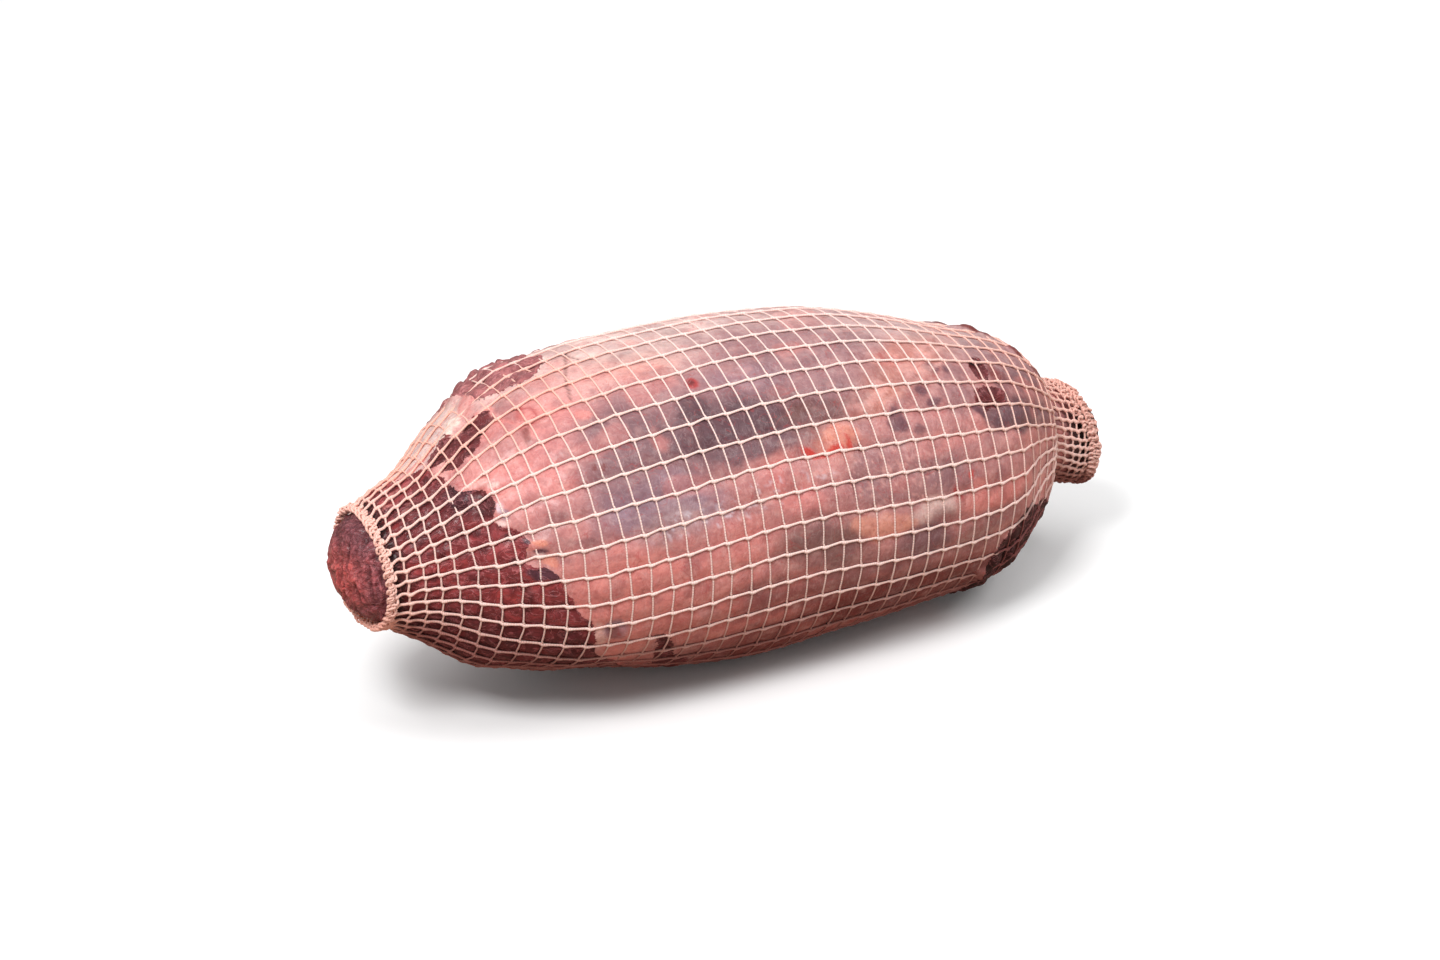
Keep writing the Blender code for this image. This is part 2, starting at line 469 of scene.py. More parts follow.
def flap_reach(station, angle):
    """How many millimetres inside the hanging flap a place lies, and below 0 outside it."""
    stations, reaches = np.array(COLLAR_FLAP).T
    off_middle = np.abs(half_turn(angle - FLAP_MIDDLE))
    return FLAP_ARC * (np.interp(station, stations, reaches, OUTSIDE, OUTSIDE) - off_middle)


collar_reach = flap_reach(wander_x, wander_angle)
print("points in the hanging flap:", int((collar_reach > 0.0).sum()))

# %% Ovals on the unrolled roast


def oval(x, angle, length, width, tilt=0.0, places=None):
    """Distance from the middle of an ellipse on the unrolled roast, as a share of its radius."""
    at_x, at_angle = places or (wander_x, wander_angle)
    along = at_x - x
    around = half_turn(at_angle - angle)
    turn = math.radians(tilt)
    length_share = (along * math.cos(turn) + around * math.sin(turn)) / length
    width_share = (around * math.cos(turn) - along * math.sin(turn)) / width
    return np.hypot(length_share, width_share)


def patch(x, angle, length, width, tilt=0.0, edge=0.3, places=None):
    """1 inside an ellipse, in millimetres along and degrees round, and 0 outside it."""
    return 1.0 - ease(1.0 - edge, 1.0 + edge, oval(x, angle, length, width, tilt, places))


def window_reach(x, angle, length, width, tilt):
    """How many millimetres inside a window a place lies, and below 0 outside it."""
    return min(length, width) * (1.0 - oval(x, angle, length, width, tilt))


print("oval helpers ready")

# %% Windows in the membrane
# station, angle, half length, half width, tilt
RIB_WINDOWS = (
    (-88.0, -25.0, 17.5, 21.0, -8.0),
    (-73.0, -46.0, 15.0, 8.0, 30.0),
    (-105.0, -47.0, 8.0, 13.0, 10.0),
)
DARK_WINDOWS = (
    (-110.0, 4.5, 7.5, 6.0, -16.0),
    (-116.5, 6.5, 6.0, 7.5, 0.0),
    (-123.0, 1.0, 5.0, 7.0, 0.0),
    (-121.0, 13.0, 4.0, 4.0, 0.0),
)
LOW_WINDOW = (-54.0, 131.0, 5.2, 22.0, -29.0)
MAROON_WINDOWS = ((95.5, 31.0, 5.0, 6.0, 0.0), (93.0, 44.6, 8.0, 4.6, 0.0))
EDGE_SOFTNESS = 0.8
REACH_LIMIT = 3.0
windows = (*RIB_WINDOWS, *DARK_WINDOWS, LOW_WINDOW, *MAROON_WINDOWS)
reaches = [ground_reach, collar_reach] + [window_reach(*window) for window in windows]
bare_reach = np.clip(np.maximum.reduce(reaches), -REACH_LIMIT, REACH_LIMIT)
bare = ease(-EDGE_SOFTNESS, EDGE_SOFTNESS, bare_reach)
collar_bare = ease(-EDGE_SOFTNESS, EDGE_SOFTNESS, collar_reach)
rib_reach = np.maximum.reduce([window_reach(*window) for window in RIB_WINDOWS])
rib_window = ease(-EDGE_SOFTNESS, EDGE_SOFTNESS, rib_reach)
dark_reach = np.maximum.reduce([window_reach(*window) for window in DARK_WINDOWS + MAROON_WINDOWS])
dark_window = ease(-1.0, 1.0, dark_reach)
print("bare meat covers", round(100.0 * float(bare.mean())), "percent of the grid")

# %% [markdown]
# ## The colours of the meat
# Under the membrane the muscle shows through in plum and mauve, where fat lies it turns peach or
# cream, and here and there blood has pooled. A colour ramp over noise would put the same mottling
# everywhere. So each colour is laid on as named strokes, as a painter would, broad ones first. The
# membrane's painting covers the whole roast, and the bare muscle gets a painting of its own.

# %% Mix the paints


def paint(red, green, blue):
    """A paint given in display values from 0 to 255, in the linear values that shaders use."""
    shades = np.array([red, green, blue]) / 255.0
    return np.where(shades <= 0.04045, shades / 12.92, ((shades + 0.055) / 1.055) ** 2.4)


PAINTS = {
    "membrane pink": paint(194, 132, 128),
    "rose": paint(212, 134, 129),
    "dull rose": paint(186, 130, 127),
    "blush": paint(228, 172, 164),
    "peach": paint(236, 199, 190),
    "cream": paint(232, 205, 196),
    "fat": paint(238, 212, 198),
    "coral": paint(220, 138, 130),
    "warm coral": paint(204, 134, 122),
    "fan salmon": paint(182, 122, 110),
    "pale mauve": paint(206, 176, 172),
    "mauve": paint(158, 118, 120),
    "grey mauve": paint(134, 97, 101),
    "lavender": paint(150, 126, 140),
    "plum": paint(110, 77, 83),
    "dark plum": paint(88, 58, 65),
    "purple": paint(94, 55, 67),
    "taupe": paint(120, 78, 77),
    "brown": paint(110, 68, 63),
    "red brown": paint(116, 44, 41),
    "dusty maroon": paint(186, 112, 112),
    "bare red": paint(152, 63, 66),
    "bright red": paint(172, 66, 66),
    "maroon": paint(76, 22, 28),
    "black red": paint(50, 10, 14),
    "ground red": paint(202, 96, 94),
    "ground brown": paint(142, 78, 85),
    "deep rose": paint(170, 95, 90),
    "grey brown": paint(134, 98, 94),
    "hot orange": paint(222, 142, 120),
    "sunny fat": paint(230, 160, 140),
    "hot red": paint(206, 62, 52),
    # a pale tone for painted highlights
    "glint": paint(226, 214, 222),
    "blood": paint(168, 54, 54),
}
print("paints:", len(PAINTS))

# %% Broad strokes on the membrane
# paint, station, angle, half length in millimetres, half width in degrees, tilt, softness, strength
MEMBRANE_STROKES = (
    ("peach", -45.0, -14.0, 62.0, 28.0, 0.0, 0.45, 1.0),
    ("cream", -30.0, -8.0, 30.0, 14.0, 0.0, 0.8, 0.5),
    ("hot orange", -48.0, 8.0, 18.0, 8.0, 8.0, 0.6, 0.35),
    ("pale mauve", 42.0, -6.0, 50.0, 24.0, 0.0, 0.5, 0.8),
    ("pale mauve", 96.0, -2.0, 34.0, 26.0, 0.0, 0.5, 0.7),
    ("pale mauve", 92.0, 12.0, 18.0, 10.0, 0.0, 0.6, 0.7),
    ("rose", -98.0, 27.0, 34.0, 26.0, 0.0, 0.4, 1.0),
    ("blush", -108.0, 23.0, 12.0, 7.0, 0.0, 0.6, 0.4),
    ("blush", -74.0, 6.0, 16.0, 12.0, 0.0, 0.6, 0.7),
    ("mauve", -84.0, 62.0, 20.0, 12.0, 0.0, 0.5, 0.5),
    ("mauve", -20.0, 33.0, 66.0, 20.0, 0.0, 0.35, 0.85),
    ("mauve", 14.0, 14.0, 36.0, 16.0, 10.0, 0.5, 0.9),
    ("grey mauve", -62.0, 52.0, 24.0, 15.0, 12.0, 0.45, 0.75),
    ("lavender", -60.0, 64.0, 24.0, 12.0, 8.0, 0.45, 0.8),
    ("lavender", -10.0, 26.0, 16.0, 6.0, 4.0, 0.5, 0.35),
    ("grey mauve", -70.0, 42.0, 16.0, 13.0, 0.0, 0.5, 0.8),
    ("grey mauve", -67.0, 30.0, 13.0, 8.5, 0.0, 0.5, 0.95),
    ("plum", -24.0, 41.0, 36.0, 12.0, 2.0, 0.4, 0.95),
    ("dark plum", -23.0, 43.0, 24.0, 7.5, -3.0, 0.35, 0.9),
    ("dark plum", -35.0, 33.0, 6.5, 6.0, 0.0, 0.4, 0.85),
    ("brown", 17.0, 43.0, 19.0, 5.2, 2.0, 0.35, 0.85),
    ("grey brown", 28.0, 42.0, 8.0, 4.6, 0.0, 0.5, 0.5),
    ("coral", -62.0, 92.0, 48.0, 19.0, 0.0, 0.4, 0.9),
    ("rose", -34.0, 80.0, 20.0, 6.0, -8.0, 0.6, 0.6),
    ("pale mauve", -58.0, 71.0, 14.0, 7.0, 0.0, 0.6, 0.45),
    ("grey mauve", -56.0, 76.0, 14.0, 5.0, 10.0, 0.6, 0.4),
    ("grey brown", 4.0, 88.0, 20.0, 9.0, 8.0, 0.4, 0.9),
    ("warm coral", 12.0, 55.5, 22.0, 5.0, 0.0, 0.35, 0.95),
    ("plum", -16.0, 50.0, 19.0, 4.6, 8.0, 0.3, 0.9),
    ("grey brown", 6.0, 49.8, 6.0, 2.2, 0.0, 0.5, 0.7),
    ("hot orange", 17.0, 53.0, 9.0, 4.0, 0.0, 0.4, 0.8),
    ("rose", 0.0, 65.0, 17.0, 9.0, 6.0, 0.4, 0.9),
    ("blush", 6.0, 62.0, 9.0, 5.0, 0.0, 0.6, 0.5),
    ("mauve", 36.0, 68.0, 24.0, 13.0, 0.0, 0.5, 0.8),
    ("dull rose", 62.0, 62.0, 28.0, 14.0, 0.0, 0.5, 0.7),
    ("mauve", 60.0, 72.0, 12.0, 8.0, 0.0, 0.5, 0.7),
    ("fan salmon", 60.0, 28.0, 34.0, 10.0, -27.0, 0.4, 0.75),
    ("warm coral", 64.0, 25.0, 14.0, 6.0, -27.0, 0.5, 0.5),
    ("hot orange", 42.0, 41.0, 9.0, 3.6, -20.0, 0.5, 0.35),
    ("mauve", 78.0, 40.0, 9.0, 9.0, 0.0, 0.5, 0.7),
    ("rose", 122.0, 90.0, 30.0, 26.0, 0.0, 0.5, 0.85),
    ("coral", 86.0, 86.0, 22.0, 7.5, 4.0, 0.35, 0.9),
    ("dull rose", 100.0, 74.0, 16.0, 8.0, 0.0, 0.5, 0.7),
    ("blush", 128.0, 92.0, 16.0, 14.0, 0.0, 0.6, 0.5),
    ("plum", 106.0, 55.0, 19.0, 8.0, 6.0, 0.35, 1.0),
    ("grey mauve", 130.0, 56.0, 14.0, 12.0, 0.0, 0.5, 0.8),
    ("mauve", 112.0, 24.0, 22.0, 13.0, 0.0, 0.5, 0.8),
    ("plum", 116.0, 38.0, 14.0, 8.0, 0.0, 0.5, 0.7),
    ("grey mauve", 49.0, 95.0, 13.0, 7.5, 6.0, 0.35, 0.95),
    ("grey brown", 84.0, 101.0, 24.0, 8.0, 0.0, 0.5, 0.6),
    ("taupe", 8.0, 104.0, 44.0, 7.0, 4.0, 0.4, 0.6),
    # red brown low on the roast is partly its red meat and partly painted shade on the underside
    ("red brown", 44.0, 124.0, 66.0, 16.0, 0.0, 0.4, 0.95),
    ("deep rose", -30.0, 112.0, 34.0, 11.0, 0.0, 0.5, 0.9),
    ("coral", -44.0, 114.0, 20.0, 11.0, 0.0, 0.6, 0.6),
    ("coral", -72.0, 128.0, 9.0, 22.0, -22.0, 0.3, 0.8),
    ("peach", -88.5, 108.0, 2.4, 7.5, -14.0, 0.4, 0.7),
    ("lavender", -82.5, 106.5, 4.4, 4.6, 0.0, 0.3, 0.9),
    ("dark plum", -83.5, 108.0, 2.4, 2.8, 0.0, 0.3, 0.8),
    # more red brown on the underside: partly meat, partly painted shade
    ("red brown", -6.0, 148.0, 74.0, 22.0, 0.0, 0.5, 0.95),
    ("rose", -20.0, -70.0, 60.0, 26.0, 0.0, 0.5, 0.8),
    ("mauve", 30.0, -76.0, 36.0, 14.0, 6.0, 0.4, 0.8),
    ("plum", 2.0, -98.0, 36.0, 11.0, -5.0, 0.4, 0.85),
    ("dark plum", 8.0, -99.0, 20.0, 6.0, -5.0, 0.4, 0.7),
    ("coral", -60.0, -104.0, 34.0, 20.0, 0.0, 0.5, 0.8),
    ("peach", -72.0, -72.0, 24.0, 12.0, 8.0, 0.5, 0.8),
    ("taupe", 84.0, -84.0, 30.0, 22.0, 0.0, 0.5, 0.8),
    ("warm coral", 54.0, -110.0, 26.0, 8.0, 14.0, 0.5, 0.8),
    ("cream", -118.0, -64.0, 24.0, 22.0, 0.0, 0.4, 0.8),
    # red brown on the back of the underside: partly meat, partly painted shade
    ("red brown", 0.0, -152.0, 96.0, 26.0, 0.0, 0.5, 0.95),
    ("deep rose", 30.0, 178.0, 40.0, 12.0, 0.0, 0.5, 0.5),
)
print("broad strokes:", len(MEMBRANE_STROKES))

# %% Paint the membrane


def lay(colour, tone, cover):
    """Another tone over what is painted already: 0 leaves it bare, and 1 hides it."""
    share = cover[..., None]
    return colour * (1.0 - share) + tone * share


def lay_strokes(colour, strokes):
    """Lay each stroke over what is painted already."""
    for name, x, angle, length, width, tilt, softness, strength in strokes:
        colour = lay(colour, PAINTS[name], strength * patch(x, angle, length, width, tilt, softness))
    return colour


# size of the blots in millimetres, the noise where they start and are full, paint, strength
BLOTS = (
    (14.0, 0.15, 0.55, "grey mauve", 0.30),
    (9.0, 0.25, 0.50, "coral", 0.34),
    (5.0, 0.30, 0.55, "plum", 0.26),
    (4.0, 0.40, 0.60, "blush", 0.22),
    (2.4, 0.42, 0.60, "red brown", 0.20),
    (2.0, 0.45, 0.60, "cream", 0.12),
)
BLOT_SEED = 80
# the plum muscle under its tight membrane is the one place without spots
calm = 1.0 - 0.85 * patch(-24.0, 41.0, 30.0, 13.0, edge=0.4)


def blot(colour):
    """Uneven spots of other paints, finer and finer, all over the membrane."""
    for seed, (size, start, full, name, strength) in enumerate(BLOTS):
        stain = lumps(skin, size * MM, BLOT_SEED + seed, stretch=(1.5, 1.0, 1.0))
        colour = lay(colour, PAINTS[name], strength * (calm * ease(start, full, stain)))
    return colour


flesh = np.broadcast_to(PAINTS["membrane pink"], skin.shape).copy()
flesh = blot(lay_strokes(flesh, MEMBRANE_STROKES))
print("membrane painted, mean", [round(float(c), 3) for c in flesh.mean(axis=(0, 1))])

# %% [markdown]
# Small things tell the eye that this is real meat: lumps of fat at the ground end, spots of blood,
# purple bits beside the membrane's edge. They come after the broad strokes, and with harder edges.
# Then feathers of fat fan out over the collar end, and painted highlights, glints of the wet film, lie along
# wrinkles. Both are noise, drawn out one way or fine, and kept inside a patch.

# %% Small marks
SMALL_STROKES = (
    ("cream", -127.0, -24.0, 19.0, 20.0, 0.0, 0.2, 0.9),
    ("rose", -131.0, -10.0, 9.0, 3.0, 0.0, 0.3, 0.8),
    ("warm coral", -120.0, -20.0, 10.0, 2.2, 8.0, 0.3, 0.6),
    ("rose", -136.0, -30.0, 9.0, 3.0, -6.0, 0.3, 0.7),
    ("coral", -139.0, -16.0, 5.0, 3.0, 0.0, 0.3, 0.8),
    ("pale mauve", -119.0, -22.0, 7.0, 5.0, 0.0, 0.3, 0.7),
    ("rose", -104.5, -17.0, 3.6, 12.0, 14.0, 0.2, 0.9),
    ("blush", -106.0, -12.0, 2.0, 6.0, 14.0, 0.3, 0.6),
    ("fat", -113.5, -9.5, 4.4, 4.0, 20.0, 0.2, 0.9),
    ("fat", -120.5, -6.5, 3.2, 2.6, 0.0, 0.2, 0.9),
    ("pale mauve", -124.5, -4.5, 3.0, 1.8, 0.0, 0.3, 0.7),
    ("coral", -104.5, 1.0, 2.8, 4.0, 30.0, 0.25, 0.9),
    ("red brown", 112.0, -8.0, 6.4, 3.0, 26.0, 0.25, 0.95),
    ("red brown", 117.5, -1.5, 5.0, 3.4, 40.0, 0.25, 0.9),
    ("red brown", 124.5, 13.0, 4.6, 3.0, 56.0, 0.25, 0.95),
    ("red brown", 130.5, 25.0, 4.6, 1.7, 66.0, 0.25, 0.8),
    ("red brown", 104.0, -22.0, 8.0, 3.4, 40.0, 0.3, 0.9),
    ("blush", -125.5, 12.0, 1.6, 9.0, 8.0, 0.3, 0.7),
    ("blush", -118.5, 33.0, 3.8, 2.6, 24.0, 0.3, 0.85),
    ("cream", -115.0, 36.5, 1.8, 1.8, 0.0, 0.3, 0.8),
    # the glint here is a painted highlight
    ("glint", -114.2, 46.5, 1.5, 2.0, 0.0, 0.3, 0.8),
    ("lavender", -112.6, 50.0, 1.6, 2.2, 0.0, 0.3, 0.8),
    ("cream", -115.0, 53.5, 1.4, 2.0, 0.0, 0.3, 0.6),
    ("hot orange", -106.0, 66.0, 2.4, 2.2, 0.0, 0.3, 0.9),
    ("coral", -108.5, 68.5, 2.4, 2.2, 0.0, 0.3, 0.8),
    ("hot orange", -104.0, 76.0, 2.2, 1.8, 0.0, 0.3, 0.8),
    ("purple", -105.8, 71.3, 1.9, 1.7, 0.0, 0.2, 0.95),
    ("pale mauve", -106.0, 73.6, 2.4, 0.9, 0.0, 0.3, 0.7),
    ("red brown", -98.0, 22.5, 1.5, 2.8, 20.0, 0.35, 0.7),
    ("coral", -77.5, 22.5, 2.4, 2.2, 0.0, 0.35, 0.8),
    ("blood", -30.0, 22.0, 3.1, 2.7, 0.0, 0.2, 0.95),
    ("maroon", -30.4, 21.6, 1.6, 1.4, 0.0, 0.5, 0.75),
    ("red brown", -81.0, 42.5, 1.1, 1.2, 0.0, 0.3, 0.8),
    ("red brown", -77.5, 43.5, 1.1, 1.2, 0.0, 0.3, 0.8),
    ("coral", -53.0, 41.0, 3.4, 3.6, 0.0, 0.5, 0.45),
    ("maroon", -68.5, 71.0, 0.6, 0.8, 0.0, 0.3, 0.7),
    ("hot red", 3.0, 56.4, 4.6, 1.7, 4.0, 0.3, 0.9),
    ("hot red", 11.5, 56.4, 5.4, 1.4, 0.0, 0.35, 0.9),
    ("hot red", 20.5, 55.2, 1.8, 2.0, 0.0, 0.3, 0.8),
    ("blood", 66.8, 80.5, 1.7, 3.6, -6.0, 0.3, 0.95),
    ("blood", 66.3, 85.0, 1.4, 1.6, 0.0, 0.3, 0.85),
    ("hot red", 74.6, 75.5, 1.6, 2.2, 0.0, 0.4, 0.8),
    ("coral", 78.0, 80.0, 3.0, 2.4, 0.0, 0.4, 0.7),
    ("purple", 70.0, 29.5, 3.4, 3.0, -20.0, 0.3, 0.85),
    ("purple", 76.5, 32.0, 2.2, 1.8, -20.0, 0.3, 0.8),
    ("purple", 61.5, 40.5, 2.6, 2.2, 0.0, 0.3, 0.85),
    ("purple", 65.0, 45.0, 2.4, 1.8, 0.0, 0.3, 0.8),
    ("purple", 70.5, 38.0, 1.8, 1.4, 0.0, 0.3, 0.8),
    ("purple", 45.0, 50.5, 4.4, 3.6, 0.0, 0.3, 0.85),
    ("purple", 53.0, 53.0, 2.2, 2.0, 0.0, 0.3, 0.6),
    ("purple", 87.0, 51.0, 4.4, 2.4, 0.0, 0.3, 0.85),
    ("red brown", 103.0, 34.0, 3.4, 5.0, 10.0, 0.4, 0.8),
    ("plum", 101.0, 43.0, 3.0, 5.0, 0.0, 0.5, 0.7),
    ("sunny fat", 31.0, 86.5, 14.0, 3.8, 2.0, 0.3, 0.85),
    ("cream", 55.0, 84.0, 11.5, 4.6, 2.0, 0.35, 0.7),
    ("grey brown", 60.0, 87.5, 5.0, 2.4, 0.0, 0.5, 0.5),
    ("dark plum", 43.0, 91.6, 1.4, 1.0, 0.0, 0.3, 0.8),
    ("blood", -96.0, 12.0, 1.2, 4.0, 24.0, 0.5, 0.5),
    ("blood", 40.0, -66.0, 2.6, 2.4, 0.0, 0.3, 0.8),
    ("blood", -44.0, -94.0, 3.0, 2.0, 0.0, 0.3, 0.7),
    ("purple", -70.0, -118.0, 7.0, 5.0, 10.0, 0.4, 0.7),
    ("fat", -40.0, -120.0, 12.0, 2.4, 8.0, 0.5, 0.7),
    ("hot orange", 60.0, -62.0, 10.0, 2.6, -12.0, 0.4, 0.7),
)
flesh = lay_strokes(flesh, SMALL_STROKES)
print("small marks:", len(SMALL_STROKES))

# %% Feathers of fat and painted glints
# the feathers lean across the roast, so their noise is drawn out along that lean
FAN_LEAN = -27.0
fan_turn = math.radians(FAN_LEAN)
fan_along = station_mm * math.cos(fan_turn) + angle_deg * math.sin(fan_turn)
fan_across = angle_deg * math.cos(fan_turn) - station_mm * math.sin(fan_turn)
fan_places = np.stack([fan_along, fan_across, 0.0 * fan_along], axis=-1) * MM
long_feathers = ease(0.28, 0.5, lumps(fan_places, 1.9 * MM, 92, stretch=(4.0, 0.9, 1.0)))
long_feathers = long_feathers * patch(60.0, 30.0, 32.0, 12.0, FAN_LEAN, 0.3)
short_feathers = ease(0.3, 0.6, lumps(fan_places, 1.5 * MM, 93)) * patch(33.0, 72.0, 26.0, 15.0)
flesh = lay(flesh, PAINTS["blush"], 0.5 * np.maximum(long_feathers, short_feathers))
# these masks are painted highlights: glints along wet wrinkles of the membrane
wrinkles = ease(0.25, 0.6, lumps(skin, 1.5 * MM, 91)) * patch(-47.0, 71.0, 18.0, 4.6, -4.0, 0.5)
faint_painted_glints = ease(0.35, 0.6, lumps(skin, 1.4 * MM, 94)) * patch(-13.0, 66.0, 25.0, 4.6)
flesh = lay(flesh, PAINTS["glint"], 0.8 * np.maximum(wrinkles, 0.6 * faint_painted_glints))
print("feathers at", int((long_feathers > 0.1).sum()), "and glints at", int((wrinkles > 0.1).sum()), "points")

# %% [markdown]
# ## The bare muscle
# Where no membrane covers it, the muscle is dark red, and low down it is painted nearly black, partly as
# painted shade. It is drawn out into fibres along the roast. One flat red would look like plastic. So spots
# of three sizes come first, then the regions that are darker or paler, and last a few single places.

# %% Paint the bare meat


def fibre_noise(size, seed):
    """Noise drawn out along the roast, as muscle fibres are."""
    return lumps(skin, size, seed, stretch=(3.0, 1.0, 1.0))


# paint, size of the spots in millimetres, seed, the noise where they start and are full, strength
RAW_SPOTS = (
    ("bright red", 6.0, 21, 0.0, 0.7, 0.75),
    ("maroon", 4.0, 22, 0.0, 0.7, 0.7),
    ("dusty maroon", 2.2, 26, 0.3, 0.8, 0.35),
)
raw = np.broadcast_to(PAINTS["bare red"], skin.shape).copy()
for name, size, seed, start, full, strength in RAW_SPOTS:
    raw = lay(raw, PAINTS[name], strength * ease(start, full, lumps(skin, size * MM, seed)))
# the low side of the ground end and the collar end are painted darkest: partly dark meat, partly painted
# shade low down and on the hanging flap
raw = lay(raw, PAINTS["maroon"], 0.75 * ease(88.0, 118.0, off_top))
raw = lay(raw, PAINTS["black red"], np.maximum(0.92 * collar_bare, 0.55 * dark_window))
rib_tone = PAINTS["dusty maroon"] * 0.85 * (1.0 + 0.22 * fibre_noise(2.4 * MM, 23))[..., None]
raw = lay(raw, rib_tone, rib_window)
print("bare meat's ground colour laid, mean", [round(float(c), 3) for c in raw.mean(axis=(0, 1))])

# %% Marks on the bare meat
# single places on the shoulder: a dark blob, a dark upper side, pale strings, a strip and a cell
raw = lay(raw, 0.8 * PAINTS["purple"], patch(-125.5, 32.0, 3.8, 9.0, edge=0.2))
raw = lay(raw, PAINTS["maroon"], 0.6 * patch(-135.0, 30.0, 17.0, 24.0, edge=0.5))
strings = 0.65 * ease(0.05, 0.45, fibre_noise(1.6 * MM, 27))
raw = lay(raw, PAINTS["coral"], strings * patch(-146.5, -4.0, 9.0, 26.0, edge=0.4))
strip = np.maximum(
    patch(-106.0, 80.0, 5.4, 2.3, edge=0.25),
    patch(-109.0, 64.5, 2.6, 1.8, edge=0.3),
)
raw = lay(raw, PAINTS["purple"], strip)
raw = lay(raw, PAINTS["maroon"], 0.8 * patch(-119.0, 45.0, 4.2, 5.0, edge=0.25))
print("dark strip covers", round(100.0 * float((strip > 0.5).mean()), 2), "percent of the grid")

# %% Painted shade inside the collar and the mouth
# inside the collar both paintings turn to the same painted shade, lit at the top by painted light, and red
# brown low down
in_collar = ease(142.5, 147.0, station_mm)
collar_painted_shade_and_light = PAINTS["taupe"] * 0.75 * (1.0 - 0.8 * ease(147.0, 151.0, station_mm))[..., None]
collar_painted_shade_and_light = lay(collar_painted_shade_and_light, PAINTS["rose"], 0.8 * (1.0 - ease(20.0, 50.0, off_top)))
collar_painted_shade_and_light = lay(collar_painted_shade_and_light, PAINTS["red brown"], 0.7 * ease(95.0, 120.0, off_top))
flesh = lay(flesh, collar_painted_shade_and_light, in_collar)
raw = lay(raw, collar_painted_shade_and_light, in_collar)
# the bare meat deep in the ground mouth is painted black red, as painted shade
raw = lay(raw, PAINTS["black red"], ease(-147.0, -152.0, station_mm))
mottle = 1.0 + 0.12 * lumps(skin, 4.0 * MM, 24) + 0.12 * fibre_noise(1.8 * MM, 25)
raw = np.clip(raw * mottle[..., None], 0.0, 1.0)
print("bare meat painted, mean", [round(float(c), 3) for c in raw.mean(axis=(0, 1))])

# %% [markdown]
# ## Creases
# Where the membrane was folded under or nicked by the knife, a thin line shows, painted partly in the fold's
# own colour and partly as painted shade in the fold. Each crease is a short run of points. Its darkness and
# its depth fall off with the distance from that run.

# %% Draw the creases
# half width in millimetres, depth in millimetres, paint, and the points as station and angle
CREASES = (
    (0.7, 0.6, "blood", ((-95.0, 8.0), (-91.5, 11.0), (-91.0, 16.0), (-93.5, 18.0))),
    (0.7, 0.5, "coral", ((-101.0, 10.0), (-99.5, 14.0), (-95.0, 17.0), (-90.0, 17.5))),
    (0.6, 0.5, "brown", ((-62.0, -16.0), (-66.0, -8.0), (-70.0, -1.0), (-75.0, 8.0), (-76.5, 15.0))),
    (0.5, 0.3, "brown", ((-64.0, -12.0), (-61.0, -4.0))),
    (0.6, 0.4, "coral", ((-76.5, 15.0), (-82.0, 16.5), (-86.0, 16.0))),
    (0.5, 0.3, "coral", ((-112.0, 30.0), (-106.0, 27.0), (-100.0, 26.0))),
    (0.6, 0.4, "brown", ((84.0, -16.0), (92.0, 0.0), (100.0, 10.0))),
    (0.5, 0.3, "mauve", ((52.0, -20.0), (66.0, -6.0), (74.0, 2.0))),
    (0.5, 0.3, "coral", ((44.0, 9.0), (56.0, 8.0))),
    (0.7, 0.5, "brown", ((-84.0, -48.0), (-60.0, -62.0), (-30.0, -70.0), (10.0, -74.0))),
    (0.6, 0.4, "coral", ((20.0, -58.0), (50.0, -54.0), (80.0, -60.0))),
    (0.6, 0.4, "brown", ((60.0, -130.0), (20.0, -136.0), (-30.0, -132.0))),
)
# millimetres to a degree round the roast where it is thick
DEGREE_ARC = 1.05
crease_wander = [0.8 * lumps(skin, 5.0 * MM, seed) for seed in (31, 32)]


def crease_distance(points):
    """Distance in millimetres from a run of points on the unrolled roast."""
    nearest = np.full(station_mm.shape, np.inf)
    for (x0, a0), (x1, a1) in zip(points, points[1:]):
        run = np.array([x1 - x0, (a1 - a0) * DEGREE_ARC])
        off_x = station_mm + crease_wander[0] - x0
        off_a = (angle_deg - a0) * DEGREE_ARC + crease_wander[1]
        share = np.clip((off_x * run[0] + off_a * run[1]) / (run @ run), 0.0, 1.0)
        nearest = np.minimum(nearest, np.hypot(off_x - share * run[0], off_a - share * run[1]))
    return nearest


crease_depth = np.zeros(station_mm.shape)
for breadth, deep, name, points in CREASES:
    line = np.exp(-((crease_distance(points) / breadth) ** 2))
    crease_depth = np.maximum(crease_depth, deep * MM * line)
    # each crease is painted in its paint: the fold's own colour, and painted shade in the fold
    flesh = lay(flesh, PAINTS[name], 0.7 * line)
print("creases:", len(CREASES))

# %% [markdown]
# ## The relief of the meat
# The depth of the flesh under the net's middle is one number for each point. The pillows come first,
# higher in wide openings than in narrow ones. Then the bare meat sinks and turns lumpy, with a raised
# lip of membrane round it and ribs of muscle in the windows of the shoulder. Lumps of fat and ragged
# meat stand up, the meat that hangs at the collar end is pulled into ridges, and the flesh draws back
# from the net at both mouths. A displacement texture could add bumps, but not where we want them.

